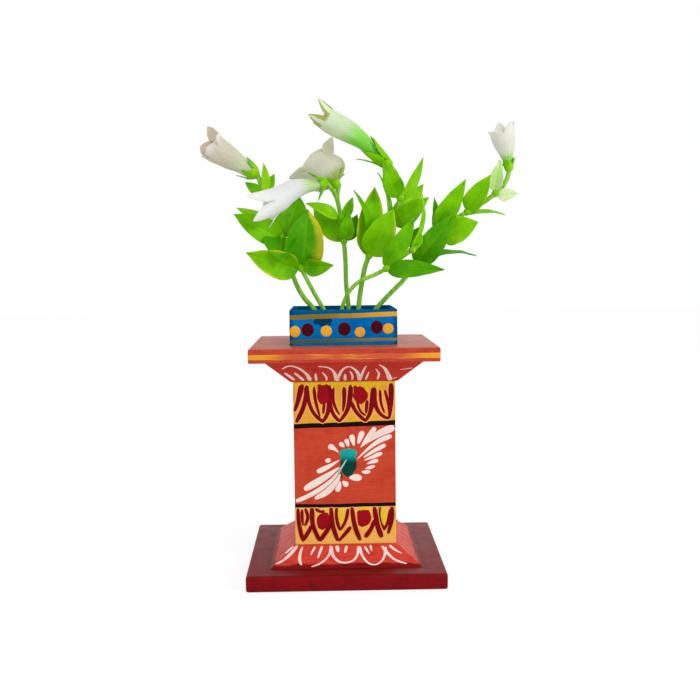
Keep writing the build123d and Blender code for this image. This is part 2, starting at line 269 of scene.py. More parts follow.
# %% The enamel group
enamel, given, result = start_group(
    "hand_laid_enamel",
    [("Vector", "Vector", None), ("Color", "Color", (0.5, 0.1, 0.1, 1)),
     ("Thin Color", "Color", (0.3, 0.1, 0.1, 1)), ("Brush", "Vector", (100.0, 1600.0, 1600.0)),
     ("Thinness", "Float", 0.5), ("Furrow Depth", "Float", 0.00003)],
    [("Color", "Color"), ("Roughness", "Float"), ("Height", "Float")])
along_brush = vector_maths(enamel, "MULTIPLY", given.outputs["Vector"], given.outputs["Brush"])
furrows = noise(enamel, along_brush, 1.0, 4.0, 0.6)
patches = noise(enamel, given.outputs["Vector"], 130.0, 3.0, 0.55)
thin_furrows = maths(enamel, "MULTIPLY", step(enamel, furrows, 0.42, 0.72), 0.75)
thin_patches = step(enamel, patches, 0.45, 0.75)
thin_here = maths(enamel, "MULTIPLY", maths(enamel, "ADD", thin_furrows, thin_patches, clamp=True),
                  given.outputs["Thinness"])
wire(enamel, result, {
    "Color": blend_colors(enamel, thin_here, given.outputs["Color"], given.outputs["Thin Color"]),
    "Roughness": maths(enamel, "MULTIPLY_ADD", patches, 0.25, 0.30),
    "Height": maths(enamel, "MULTIPLY", furrows, given.outputs["Furrow Depth"])})
print("enamel group:", len(enamel.nodes), "nodes")

# %% [markdown]
# ## Worn and overpainted edges
# Handling rubs the paint off the corners of a wooden block. On a box the distance to the nearest edge
# follows from the three distances to its faces: the second smallest one is small only near an edge.
# Noise breaks the line up, so that the wear comes and goes.

# %% The edge wear group
edge_wear, given, result = start_group(
    "edge_wear",
    [("Vector", "Vector", None), ("Middle", "Vector", (0.0, 0.0, 0.0)),
     ("Half Size", "Vector", (0.05, 0.05, 0.05)), ("Width", "Float", 0.0008)],
    [("Worn", "Float")])
from_middle = vector_maths(edge_wear, "SUBTRACT", given.outputs["Vector"], given.outputs["Middle"])
depth = vector_maths(edge_wear, "SUBTRACT", vector_maths(edge_wear, "ABSOLUTE", from_middle),
                     given.outputs["Half Size"])
across, deep, high = parts_of(edge_wear, depth)
near_edge = maths(edge_wear, "MAXIMUM", maths(edge_wear, "MINIMUM", across, deep),
                  maths(edge_wear, "MAXIMUM", maths(edge_wear, "MINIMUM", deep, high),
                        maths(edge_wear, "MINIMUM", high, across)))
break_up = noise(edge_wear, given.outputs["Vector"], 420.0, 5.0, 0.65)
nearness = maths(edge_wear, "ADD", maths(edge_wear, "DIVIDE", near_edge, given.outputs["Width"]), 1.0)
wire(edge_wear, result, {"Worn": maths(edge_wear, "MULTIPLY", step(edge_wear, nearness, 0.0, 1.2),
                                       step(edge_wear, break_up, 0.52, 0.62))})
print("edge wear group:", len(edge_wear.nodes), "nodes")

# %% [markdown]
# ## The plain painted boards
# Maroon on the base, coral on the skirt and the capital, salmon on the top board, each over its own
# undercoat. One function gives them all. What a board has besides is asked for by name: worn edges, the
# golden stripe round the top board, a darker foot, painted shade on the base round the skirt's foot, and
# painted light on an upper face: a tone of its own there, set for how the light from above falls on it.

# %% Painted wood finishes
paint_thick = 0.00008             # how far a painted line stands up, in metres
stripe_full = 0.042               # how far from a side's middle the stripe is at its strongest


def painted_board(name, color, thin_color, brush, thinness, wear=None, stripe=None, foot=None, painted_shade=None,
                  top=None):
    """An enamelled board. Wear is a solid, the width of its worn edges and their colour. A stripe is its
    colour, its faded colour, the heights in metres between which it runs and how far it is faded from the
    middle of a side. A foot is a colour and its upper end. A painted shade is the colour of the shade
    painted on the base round the skirt's foot and the half width of the square that it covers. A top is the
    colour painted on the upper face for how the light from above falls on it, and that face's height."""
    finish, tree, shader, place = start_finish(name, Specular_IOR_Level=0.08)
    coat = use_group(tree, enamel, {"Vector": place, "Color": color, "Thin Color": thin_color,
                                    "Brush": brush, "Thinness": thinness})
    seen = coat.outputs["Color"]
    height = coat.outputs["Height"]
    x, y, z = parts_of(tree, place)
    if stripe:
        stripe_color, faded_color, low, high, bare_middle = stripe
        wobble = maths(tree, "MULTIPLY_ADD", noise(tree, place, 90.0, 2.0), 0.0011, -0.00055)
        inside = between(tree, maths(tree, "ADD", z, wobble), low, high, 0.00012)
        strong = step(tree, off_middle(tree, "MINIMUM", x, y), bare_middle, stripe_full)
        rubbed = noise(tree, vector_maths(tree, "MULTIPLY", place, (60.0, 60.0, 900.0)), 1.0, 4.0, 0.6)
        streaky = maths(tree, "MULTIPLY", step(tree, rubbed, 0.50, 0.66), 0.65)
        fresh = maths(tree, "ADD", strong, streaky, clamp=True)
        seen = blend_colors(tree, inside, seen, blend_colors(tree, fresh, faded_color, stripe_color))
        height = maths(tree, "ADD", height, maths(tree, "MULTIPLY", inside, paint_thick))
    if foot:
        foot_color, foot_top = foot
        level = maths(tree, "MULTIPLY_ADD", noise(tree, place, 120.0, 3.0), 0.0024, z)
        seen = blend_colors(tree, step(tree, level, foot_top + 0.0016, foot_top + 0.0007), seen, foot_color)
    # Painted light and shade on the upper face: a tone of its own there for how the light from above falls
    # on it, a painted sheen on the top board and painted shade on the base.
    if top:
        top_light_color, top_height = top
        seen = blend_colors(tree, step(tree, z, top_height - 0.0003, top_height - 0.0001), seen, top_light_color)
    # Painted shade: the base's top is darkened in a band round the skirt's foot, where the skirt shades it.
    if painted_shade:
        painted_shade_color, reach = painted_shade
        uneven = maths(tree, "MULTIPLY_ADD", noise(tree, place, 90.0, 3.0), 0.0024,
                       off_middle(tree, "MAXIMUM", x, y))
        seen = blend_colors(tree, step(tree, uneven, reach + 0.0016, reach + 0.0008), seen, painted_shade_color)
    if wear:
        node, width, worn_color = wear
        low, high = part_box(node)
        worn = use_group(tree, edge_wear, {"Vector": place, "Middle": (low + high) / 2,
                                           "Half Size": (high - low) / 2, "Width": width})
        seen = blend_colors(tree, worn.outputs["Worn"], seen, worn_color)
    complete(tree, shader, seen, height, coat.outputs["Roughness"])
    print(f"{name}: {len(tree.nodes)} nodes")
    return finish


skirt_low, skirt_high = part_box("skirt")
maroon_paint = painted_board(
    "maroon_paint", tone(0.53, 0.04, 0.07), tone(0.40, 0.03, 0.05), (90.0, 1500.0, 1500.0), 0.6,
    wear=("base_board", 0.0009, tone(0.28, 0.03, 0.04)),
    painted_shade=(tone(0.42, 0.01, 0.04), skirt_high.x + 0.0020), top=(tone(0.46, 0.03, 0.05), skirt_low.z))
coral_paint = painted_board(
    "coral_paint", tone(0.85, 0.28, 0.22), tone(0.77, 0.20, 0.17), (110.0, 110.0, 1500.0), 0.8,
    foot=(tone(0.50, 0.06, 0.07), skirt_low.z + 0.0019))
capital_paint = painted_board(
    "capital_paint", tone(0.80, 0.24, 0.19), tone(0.71, 0.18, 0.15), (110.0, 110.0, 1500.0), 0.8)
salmon_paint = painted_board(
    "salmon_paint", tone(0.77, 0.27, 0.20), tone(0.66, 0.20, 0.15), (90.0, 1400.0, 1400.0), 0.8,
    wear=("capital_board", 0.0006, tone(0.60, 0.20, 0.13)),
    stripe=(tone(0.91, 0.62, 0.16), tone(0.79, 0.35, 0.21), 0.1147, 0.1173, 0.026),
    top=(tone(0.73, 0.37, 0.26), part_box("capital_board")[1].z))

# %% [markdown]
# ## The pillar's coat
# The four faces of the pillar carry the same bands: yellow at the top and at the foot, a black line inside
# each, and orange-red between. The bands follow the height, so they come from the Z of the object's own
# coordinates, with a slow wobble, because no hand draws a line quite level.

# %% The banded pillar paint
upper_line = (0.0782, 0.0806)     # heights of the black lines, in metres
lower_line = (0.0364, 0.0383)
band_edge = 0.00012
upper_climb = 1.1                 # the upper line climbs round each face by this times X times Y
fresh_yellow_from = (0.1005, 0.1045)

pillar_paint, tree, shader, place = start_finish("pillar_paint", Specular_IOR_Level=0.08)
x, y, z = parts_of(tree, place)
wobble = maths(tree, "MULTIPLY_ADD", noise(tree, place, 45.0, 2.0), 0.0016, -0.0008)
level = maths(tree, "ADD", z, wobble)
round_the_faces = maths(tree, "MULTIPLY", x, y)
upper_level = maths(tree, "MULTIPLY_ADD", round_the_faces, upper_climb, level)
yellow_mask = maths(
    tree, "ADD", step(tree, upper_level, upper_line[1] - band_edge, upper_line[1] + band_edge),
    step(tree, level, lower_line[0] + band_edge, lower_line[0] - band_edge), clamp=True)
panel_mask = maths(
    tree, "MULTIPLY", step(tree, level, lower_line[1] - band_edge, lower_line[1] + band_edge),
    step(tree, upper_level, upper_line[0] + band_edge, upper_line[0] - band_edge))
panel = use_group(tree, enamel, {
    "Vector": place, "Color": tone(0.80, 0.28, 0.18), "Thin Color": tone(0.71, 0.22, 0.14),
    "Brush": (110.0, 110.0, 1500.0), "Thinness": 0.8})
yellow = use_group(tree, enamel, {
    "Vector": place, "Color": tone(0.90, 0.68, 0.18), "Thin Color": tone(0.87, 0.58, 0.26),
    "Brush": (900.0, 900.0, 120.0), "Thinness": 0.9})
fresh_yellow = step(tree, maths(tree, "MULTIPLY_ADD", noise(tree, place, 700.0, 2.0), 0.006, z),
                    *fresh_yellow_from)
yellow_seen = blend_colors(tree, fresh_yellow, yellow.outputs["Color"], tone(0.93, 0.80, 0.10))
# Painted light: the lower yellow band is lightened towards a pale peach, as if lit.
painted_light_low = maths(tree, "MULTIPLY", step(tree, z, lower_line[1], lower_line[0]), 0.7)
yellow_seen = blend_colors(tree, painted_light_low, yellow_seen, tone(0.99, 0.78, 0.40))
seen = blend_colors(tree, panel_mask, tone(0.05, 0.0, 0.0), panel.outputs["Color"])
seen = blend_colors(tree, yellow_mask, seen, yellow_seen)
lines_raised = maths(tree, "MULTIPLY", maths(tree, "ADD", yellow_mask, panel_mask), -0.00005)
complete(tree, shader, seen, maths(tree, "ADD", panel.outputs["Height"], lines_raised),
         panel.outputs["Roughness"])
print("pillar paint:", len(tree.nodes), "nodes")

# %% [markdown]
# ## The blue box's coat
# Blue outside with two gold lines round it, navy above the upper line and a paler band along the top edge,
# a painted highlight where the rounded rim catches the light. Inside, the walls are a dull dark blue. Which
# side of a wall a point is on follows from how far out it lies.

# %% The box paint
gold_upper = (0.1338, 0.1361)     # heights of the gold lines, in metres
gold_lower = (0.1218, 0.1232)
upper_rise = 0.8                  # the lines climb along each side by this times X times Y
lower_rise = 0.45
gold_edge = 0.0001
smudge_place = (-0.0105, -0.0288, 0.1326)
smudge_squeeze = (1.0, 0.2, 1.7)  # how much the smudge is squeezed each way
box_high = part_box("planter_front")[1]
box_half = box_high.x
box_top = box_high.z

blue_paint, tree, shader, place = start_finish("blue_paint", Specular_IOR_Level=0.0)
x, y, z = parts_of(tree, place)
blue = use_group(tree, enamel, {
    "Vector": place, "Color": tone(0.0, 0.46, 0.75), "Thin Color": tone(0.0, 0.39, 0.67),
    "Brush": (120.0, 120.0, 1300.0), "Thinness": 0.9})
round_the_sides = maths(tree, "MULTIPLY", x, y)
wobble = maths(tree, "MULTIPLY_ADD", noise(tree, place, 70.0, 2.0), 0.0010, -0.0005)
level = maths(tree, "ADD", maths(tree, "MULTIPLY_ADD", round_the_sides, upper_rise, z), wobble)
low_level = maths(tree, "ADD", maths(tree, "MULTIPLY_ADD", round_the_sides, lower_rise, z), wobble)
outside = step(tree, off_middle(tree, "MAXIMUM", x, y), box_half - 0.0010, box_half - 0.0006)
fresh_blue = step(tree, noise(tree, place, 160.0, 3.0), 0.55, 0.72)
seen = blend_colors(tree, maths(tree, "MULTIPLY", fresh_blue, 0.6), blue.outputs["Color"],
                    tone(0.0, 0.50, 0.76))
navy_here = maths(tree, "MULTIPLY", step(tree, level, gold_upper[1] - 0.0002, gold_upper[1] + 0.0002),
                  0.8)
seen = blend_colors(tree, navy_here, seen, tone(0.0, 0.30, 0.50))
smudge_size = vector_maths(tree, "MULTIPLY", vector_maths(tree, "SUBTRACT", place, smudge_place),
                           smudge_squeeze)
smudge_reach = maths(tree, "MULTIPLY_ADD", noise(tree, place, 330.0, 3.0), 0.011,
                     vector_maths(tree, "LENGTH", smudge_size, output="Value"))
seen = blend_colors(tree, maths(tree, "MULTIPLY", step(tree, smudge_reach, 0.0104, 0.0093), 0.85), seen,
                    tone(0.02, 0.16, 0.26))
# Painted highlight: a paler band along the top edge, broken up by noise, where the rounded rim catches the
# light.
rim_here = maths(tree, "MULTIPLY", step(tree, z, box_top - 0.0012, box_top - 0.0003),
                 step(tree, noise(tree, place, 300.0, 3.0), 0.35, 0.6))
seen = blend_colors(tree, rim_here, seen, tone(0.04, 0.40, 0.60))
corner_here = maths(tree, "MULTIPLY", step(tree, off_middle(tree, "MINIMUM", x, y), box_half - 0.0026,
                                           box_half - 0.0006), 0.6)
seen = blend_colors(tree, corner_here, seen, tone(0.0, 0.16, 0.28))
gold_place = maths(tree, "MULTIPLY_ADD", noise(tree, place, 160.0, 3.0), 0.0004,
                   maths(tree, "MULTIPLY", round_the_sides, -1.0))
gold_tone = step(tree, gold_place, -0.0002, 0.0009)
gold_here = 0.0
for here, low, high, left_tone, right_tone in (
        (level, *gold_upper, tone(0.56, 0.44, 0.10), tone(0.90, 0.64, 0.14)),
        (low_level, *gold_lower, tone(0.40, 0.38, 0.12), tone(0.62, 0.50, 0.22))):
    line = maths(tree, "MULTIPLY", between(tree, here, low, high, gold_edge), outside)
    seen = blend_colors(tree, line, seen, blend_colors(tree, gold_tone, left_tone, right_tone))
    gold_here = maths(tree, "ADD", line, gold_here, clamp=True)
seen = blend_colors(tree, outside, blend_colors(tree, 0.45, seen, tone(0.06, 0.28, 0.40)), seen)
complete(tree, shader, seen, maths(tree, "ADD", blue.outputs["Height"],
                                   maths(tree, "MULTIPLY", gold_here, paint_thick)),
         blue.outputs["Roughness"])
print("box paint:", len(tree.nodes), "nodes")

# %% [markdown]
# ## One-colour brush paint for the ornament
# The petals, feathers and dots are laid on last, each in one stroke. The paint is thick in the middle of a
# stroke and lets a little of the ground through where the brush ran dry.

# %% Ornament paints
def stroke_paint(name, color, thin_color, thinness=0.6, foot_color=None, fade=(0.0, 1.0)):
    """Ornament paint. A foot color takes over below, fading between two heights in metres."""
    finish, tree, shader, place = start_finish(name, Specular_IOR_Level=0.07)
    coat = use_group(tree, enamel, {"Vector": place, "Color": color, "Thin Color": thin_color,
                                    "Brush": (700.0, 700.0, 700.0), "Thinness": thinness,
                                    "Furrow Depth": 0.00005})
    seen = coat.outputs["Color"]
    if foot_color:
        seen = blend_colors(tree, step(tree, parts_of(tree, place)["Z"], *fade), foot_color, seen)
    complete(tree, shader, seen, coat.outputs["Height"], coat.outputs["Roughness"])
    print(f"{name}: {len(tree.nodes)} nodes")
    return finish


white_paint = stroke_paint("white_stroke_paint", tone(0.96, 0.91, 0.87), tone(0.93, 0.80, 0.76))
pink_white_paint = stroke_paint("thin_white_paint", tone(0.97, 0.88, 0.85), tone(0.92, 0.68, 0.63), 0.7)
skirt_white_paint = stroke_paint("skirt_white_paint", tone(0.97, 0.92, 0.88), tone(0.92, 0.70, 0.70), 0.8)
beige_paint = stroke_paint("beige_stroke_paint", tone(0.84, 0.66, 0.54), tone(0.78, 0.50, 0.40), 0.8)
red_paint = stroke_paint("red_stroke_paint", tone(0.52, 0.0, 0.06), tone(0.42, 0.0, 0.05))
fresh_yellow_paint = stroke_paint("fresh_yellow_paint", tone(0.92, 0.78, 0.12), tone(0.90, 0.72, 0.20))
petal_rim_paint = stroke_paint("petal_rim_paint", tone(0.95, 0.70, 0.36), tone(0.92, 0.62, 0.24))
red_blob_paint = stroke_paint("red_blob_paint", tone(0.62, 0.03, 0.09), tone(0.55, 0.02, 0.07))
pale_teal_paint = stroke_paint("pale_teal_paint", tone(0.62, 0.82, 0.78), tone(0.45, 0.72, 0.70))
bud_paint = stroke_paint("bud_paint", tone(0.05, 0.68, 0.65), tone(0.0, 0.60, 0.58), 0.5,
                         tone(0.0, 0.24, 0.20), (0.0592, 0.0645))
yellow_dot_paint = stroke_paint("yellow_dot_paint", tone(0.96, 0.71, 0.18), tone(0.93, 0.60, 0.14))
maroon_dot_paint = stroke_paint("maroon_dot_paint", tone(0.30, 0.0, 0.05), tone(0.24, 0.0, 0.04))

# %% [markdown]
# ## The boards of the stand
# A board is a cube at its size and place with its edges beveled as a plane and years of handling leave
# them. The skirt and the capital are cubes too, with the top face scaled in edit mode, which makes the
# four slopes.

# %% A board
def board(low, high, edge, top_share=None):
    """A wooden block between two corners. A top share scales its top face and leaves its foot."""
    fresh_start()
    bpy.ops.mesh.primitive_cube_add(size=1, location=(low + high) / 2)
    block = bpy.context.object
    block.scale = high - low
    settle(block)
    bpy.ops.object.mode_set(mode="EDIT")
    if top_share:
        pick(block, "FACE", lambda middle, normal: normal.z > 0.9)
        bpy.ops.transform.resize(value=(top_share, top_share, 1))
    pick(block, "EDGE", lambda middle, along: True)
    bpy.ops.mesh.bevel(offset=edge, segments=3, profile=0.6)
    bpy.ops.object.mode_set(mode="OBJECT")
    smooth(block)
    return block


# %% [markdown]
# The visible boards go in one by one over their solids. The base's two nail heads sit in pockets on the
# underside, which a boolean cuts, as a drill would.

# %% The stand's boards
nail_places = (-13.0, 13.0)
pocket_radius = 2.1
pocket_height = 2.4               # half of it lies inside the board
block_edge = 0.5 * mm
skirt_foot, skirt_top = 77.5, 53.2
capital_foot, capital_top = 54.4, 80.0

base = board(*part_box("base_board"), edge=1.5 * mm)
for nail_place in nail_places:
    fresh_start()
    bpy.ops.mesh.primitive_cylinder_add(vertices=32, radius=pocket_radius * mm, depth=pocket_height * mm,
                                        location=(nail_place * mm, 0, 0))
    drill = bpy.context.object
    modify(base, "BOOLEAN", operation="DIFFERENCE", object=drill, solver="EXACT")
    bpy.data.objects.remove(drill)
smooth(base)
hand_in(base, "base_board_painted", "stand", maroon_paint, ["base_board"])

hand_in(board(skirt_low, skirt_high, block_edge, skirt_top / skirt_foot),
        "skirt_painted", "stand", coral_paint, ["skirt"])
hand_in(board(*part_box("pillar"), block_edge),
        "pillar_painted", "stand", pillar_paint, ["pillar"])

foot = capital_foot / capital_top
capital = board(*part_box("capital_block"), block_edge, 1 / foot)
settle(capital, Matrix.Diagonal((foot, foot, 1, 1)))
hand_in(capital, "capital_block_painted", "stand", capital_paint, ["capital_block"])

hand_in(board(*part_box("capital_board"), edge=0.9 * mm),
        "capital_board_painted", "stand", salmon_paint, ["capital_board"])

# %% [markdown]
# ## The box
# Four thin boards, nailed at the corners and painted over. Each wall is a beveled block. The paint
# fills the nail heads to low round bumps, which are modelled once and copied.

# %% The box walls and its painted brads
for side in ("front", "back", "left", "right"):
    node = "planter_" + side
    hand_in(board(*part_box(node), edge=0.45 * mm), node + "_painted", "stand", blue_paint,
            [node])

bump_radius = 0.7
bump_flatness = 0.12
brad_across = (-25.75, 25.75)
brad_faces = (-27.25, 27.25)      # the front and the back of the box
brad_heights = (124.5, 133.5)

fresh_start()
bpy.ops.mesh.primitive_uv_sphere_add(segments=16, ring_count=8, radius=bump_radius * mm)
bump = settle(bpy.context.object, Matrix.Diagonal((1, bump_flatness, 1, 1)))
bumps = [settle(twin(bump), Matrix.Translation(Vector((x, y, z)) * mm))
         for x in brad_across for y in brad_faces for z in brad_heights]
bpy.data.objects.remove(bump)
brad_bumps = gather(bumps)
smooth(brad_bumps)
hand_in(brad_bumps, "brad_bumps", "stand", blue_paint, ["planter_brads"])

# %% [markdown]
# ## Brush strokes
# A stroke of thick paint is a low ridge. It is drawn as a curve with a round bevel whose radius swells and
# thins along the stroke, turned into a mesh, pressed flat until it stands a tenth of a millimetre proud,
# and laid on its face. A stroke is a row of points: across, up and the width there. Swell makes every
# stroke of a drawing that much wider, for an outline that shows beside it.

# %% Drawing strokes on a face
def strokes(rows, unit_across, unit_up, origin, press=0.09, swell=0.0):
    """Brush strokes on a flat face in its own plane, X across and Y up, facing +Z."""
    fresh_start()
    bpy.ops.curve.primitive_nurbs_path_add()
    curve = bpy.context.object.data
    curve.splines.clear()
    curve.dimensions = "3D"
    curve.bevel_depth = 1.0
    curve.bevel_resolution = 2
    curve.use_fill_caps = True
    for row in rows:
        points = [((u - origin[0]) * unit_across, (v - origin[1]) * unit_up, (w + swell) * unit_across / 2)
                  for u, v, w in row]
        ends = []
        for end, inner in ((points[0], points[1]), (points[-1], points[-2])):
            run = Vector((end[0] - inner[0], end[1] - inner[1]))
            reach = run.normalized() * end[2] * 0.5
            ends.append((end[0] + reach.x, end[1] + reach.y, end[2] * 0.45))
        points = [ends[0], *points, ends[1]]
        spline = curve.splines.new("NURBS")
        spline.points.add(len(points) - 1)
        for point, (across, up, radius) in zip(spline.points, points):
            point.co = (across, up, 0, 1)
            point.radius = radius
        spline.order_u = 3
        spline.use_endpoint_u = True
        spline.resolution_u = 4
    bpy.ops.object.convert(target="MESH")
    return settle(bpy.context.object, Matrix.Diagonal((1, 1, press, 1)))


def face_frame(middle, up, facing):
    """Where a face's drawing goes: its middle, its upward direction and the way it faces."""
    up = Vector(up).normalized()
    facing = Vector(facing).normalized()
    across = up.cross(facing)
    turn = Matrix((across, up, facing)).transposed().to_4x4()
    return Matrix.Translation(Vector(middle)) @ turn


def all_round(drawing, face, name, finish, quarters=(0, 1, 2, 3)):
    """Lay a drawing on a face, repeat it on the four sides, or on those named, and hand it in as one
    piece."""
    settle(drawing, face)
    copies = [settle(twin(drawing), Matrix.Rotation(math.radians(90 * quarter), 4, "Z"))
              for quarter in quarters]
    bpy.data.objects.remove(drawing)
    whole = gather(copies)
    smooth(whole, 60)
    hand_in(whole, name, "stand", finish)


# %% [markdown]
# ## The pillar's petals
# Each yellow band has five lotus petals that point down, drawn with a loaded brush in dark red. Every
# second petal is filled with a blob, the others have two inner strokes. The drawing is laid out on a grid
# of 101 squares across the face, counted from its upper left corner.

# %% Petals on the yellow bands
pillar_half = 26.0 * mm
grid_across = 52.0 / 101 * mm
grid_down = -84.5 / 161.5 * mm
pillar_grid = (50.5, 161.5 / 2)
pillar_face = face_frame((0, -pillar_half, 59.25 * mm), (0, 0, 1), (0, -1, 0))


def paint_pillar(rows, name, finish, **manner):
    """Lay a drawing from the grid on the pillar's four faces."""
    all_round(strokes(rows, grid_across, grid_down, pillar_grid, **manner), pillar_face, name, finish)


upper_petals = [
    [(8.5, 4, 6.5), (5, 18, 4.5), (1.5, 28, 3)],
    [(13.5, 5, 5), (13, 14, 4.5), (9.5, 27, 4.5), (3, 39, 4)],
    [(14.5, 8, 3), (15, 20, 3.5), (20, 32, 3.5), (29, 39.5, 3.5)],
    [(36, 5, 5), (36, 20, 5), (34, 32, 4), (29, 39.5, 3)],
    [(20.5, 6, 3.5), (22, 20, 3), (26, 34, 2)],
    [(30.5, 22, 3), (29.5, 31, 2.5)],
    [(36, 18, 4), (38, 31, 3.5), (45, 39, 3.5)],
    [(57, 5, 5), (56, 20, 5), (53, 30, 4), (46, 39, 3)],
    [(39.5, 6, 3.5), (39, 18, 3), (42, 27, 2.5), (45.5, 32.5, 1.5)],
    [(50.5, 7, 4.5), (50.5, 20, 3.5), (49, 29, 2)],
    [(57, 20, 4), (62, 31, 3.5), (71, 39, 3.5)],
    [(79, 8, 5), (78, 22, 5), (76, 32, 4), (71.5, 39, 3)],
    [(63, 20, 2.5), (66, 30, 2), (71, 33.5, 2)],
    [(73, 20, 4), (72, 31, 2.5)],
    [(80, 8, 6), (80, 20, 5), (84, 31, 3.5), (91, 36.5, 3), (95, 36.5, 2.5)],
    [(97, 4, 5.5), (97, 20, 5), (95, 36, 3)],
    [(86, 10, 3), (86.5, 22, 2.5), (90, 31, 2)],
    [(91, 10, 3), (94, 22, 2.5), (95, 33, 2)],
]
lower_petals = [
    [(3, 126, 3.5), (3.5, 140, 4), (7, 156, 4.5)],
    [(17, 142, 4), (12.5, 150, 4), (7.5, 157, 4)],
    [(7, 127, 3), (7, 136, 3), (8, 142, 1.5)],
    [(10.5, 126, 3), (13.5, 134, 3.5), (10, 142, 2.5)],
    [(17, 126, 5), (17, 140, 4.5), (20, 149, 4), (24, 157, 4.5)],
    [(36, 141, 4), (31, 149, 4.5), (25, 157, 4.5)],
    [(21, 126, 3), (25, 129, 2.5), (29, 128, 2)],
    [(36, 126, 4.5), (37, 142, 4.5), (42, 157, 4.5)],
    [(55, 145, 4), (50, 151, 3.5), (43.5, 158, 2.5)],
    [(41.5, 126, 3.5), (41.5, 138, 3.5), (44.5, 147, 3)],
    [(53, 127, 3.5), (51, 138, 3), (45.5, 147, 2.5)],
    [(57, 126, 4.5), (59, 143, 4.5), (64.5, 157, 4.5)],
    [(79, 139, 4.5), (76, 147, 4), (70.5, 154, 5)],
    [(79.5, 126, 5), (82, 143, 5), (86, 154, 5.5)],
    [(97, 126, 4.5), (97, 138, 4.5), (93, 151, 3)],
    [(85, 126, 3.5), (86, 138, 3), (89, 148, 2)],
    [(95, 128, 2.5), (93, 140, 3), (89.5, 147, 2.5)],
]
petals = upper_petals + lower_petals
paint_pillar(petals, "pillar_petal_rims", petal_rim_paint, press=0.02, swell=2.8)
paint_pillar(petals, "pillar_petals", red_paint, swell=0.7)

yellow_drips = [
    [(1, 1.5, 3), (26, 1, 3.4), (50, 1.6, 3), (75, 1, 4), (100, 1.5, 3)],
    [(7, 1, 3), (7, 6, 2)], [(18, 1, 4), (18.5, 5, 4), (18, 10, 2)], [(39, 1, 4), (38.5, 7, 3)],
    [(47, 1, 3), (47, 4, 2.5)], [(59.5, 1, 4), (59, 5, 3)], [(70, 1, 5), (72.5, 7, 4), (74, 10, 2.5)],
    [(84, 1, 5), (83.5, 7, 3.5)], [(92.5, 1, 4), (92, 5, 3)],
    [(45, 127, 5), (45.5, 134, 6.5), (46, 141, 3)], [(87.5, 127, 5), (88.5, 135, 7), (89, 142, 4)],
    [(31, 126.5, 2.5), (34, 129, 2)], [(64.5, 126, 3), (74, 126.5, 4)], [(99, 140, 2), (98, 153, 3)],
]
paint_pillar(yellow_drips, "pillar_yellow_drips", fresh_yellow_paint, press=0.13)

petal_blobs = [
    [(30, 5, 5), (30, 9, 11), (30, 16, 12), (29.5, 20, 8)], [(26, 3, 2.5), (27, 8, 4)],
    [(33, 3.5, 2.5), (33, 9, 4)],
    [(65, 8, 9), (66, 12, 14), (66.5, 16, 14), (66, 20, 8)], [(61, 5.5, 3), (63, 11, 5)],
    [(69, 7, 2.5), (69, 11, 4)],
    [(30, 132, 9), (29, 136, 13), (28, 140, 12.5), (26, 144, 8)],
    [(71, 129, 8), (69.5, 133, 13), (68.5, 138, 13), (66, 142, 7)], [(64, 129, 3), (65, 134, 5)],
]
paint_pillar(petal_blobs, "pillar_petal_blobs", red_blob_paint, press=0.05, swell=1.6)

# %% [markdown]
# ## The feather on the middle panel
# A spray of white comma strokes runs from the lower left to the upper right round a green bud. A comma
# starts as a point at the bud and swells to a round head, as a pressed brush does.

# %% The white feather and its bud
feather = [
    [(66.5, 65, 1.5), (71, 58, 3.5), (77, 51, 5.5), (80.5, 46.5, 5)],
    [(67, 64, 2), (75, 57.5, 5), (87, 50.5, 7.5), (98, 46.5, 8)],
    [(62.5, 77, 1), (73, 67, 3), (85, 58.5, 5), (96, 54.5, 5.5)],
    [(69.5, 75, 2), (79, 69, 4), (90, 63.5, 5)],
    [(70, 78, 1.5), (79, 74.5, 4), (86.5, 71.5, 4.5)],
    [(72.5, 81.5, 1.5), (78, 79.5, 4), (82.5, 78.5, 4.5)],
    [(71, 86.5, 1.5), (75, 85.5, 4), (79.5, 84, 3)],
    [(67, 89.5, 1.5), (71, 90, 4.5), (75, 89.5, 3)],
    [(55.5, 95, 4), (61, 95, 8), (65.5, 95.5, 6)],
    [(64, 61, 3), (66, 55, 5.5), (68, 50.5, 6)],
    [(59.5, 63, 2.5), (58, 57, 5.5), (57.5, 54, 6)],
    [(54, 63.5, 3), (52.5, 59, 5), (52, 58, 5)],
    [(49.5, 64, 3), (46.5, 61.5, 6)],
    [(44.5, 70, 1), (40, 66, 3.5), (36, 64, 7.5)],
    [(32, 78, 4.5), (35, 77.5, 5)],
    [(45, 77.5, 1), (35, 83.5, 4.5), (24, 88.5, 6)],
    [(44.5, 85, 2), (33, 93, 6), (20, 100.5, 7.5), (11, 105.5, 6.5)],
    [(45, 88, 2), (37, 98, 4), (23, 108, 5), (10, 114.5, 4.5), (2, 117.5, 4.5)],
    [(46, 91, 1.5), (42, 99, 5), (33, 109, 7), (21, 115, 4.5)],
    [(45.5, 99, 2), (44.5, 104, 5), (42.5, 107.5, 6)],
    [(48.5, 99, 3), (50.5, 101, 6), (52, 102.5, 5.5)],
]
bud = [
    [(49, 69, 8), (50, 71, 11), (53, 72, 12), (58, 71, 11), (60, 69.5, 7)],
    [(54, 74, 15), (54, 84, 17.5), (54, 90, 12), (55.5, 93.5, 5)],
    [(47, 95, 2.5), (46, 91, 3)],
]
bud_vein = [[(52, 77, 1.4), (49, 82, 2), (45.5, 87, 2.2), (43, 92, 2)]]
paint_pillar(feather, "pillar_feather", white_paint, swell=-0.3)
paint_pillar(bud, "pillar_bud", bud_paint, press=0.03)
paint_pillar(bud_vein, "pillar_bud_vein", pale_teal_paint, press=0.5)

# %% [markdown]
# ## The lotus rows on the skirt and the capital
# Both sloping blocks have a row of thin white petals. The drawing's plane leans with the slope, so its
# upward direction runs up the slope and its facing direction stands square on it. The skirt has its petals
# on the front and the back, and a few fine beige lines that fan out on its left and right sides.

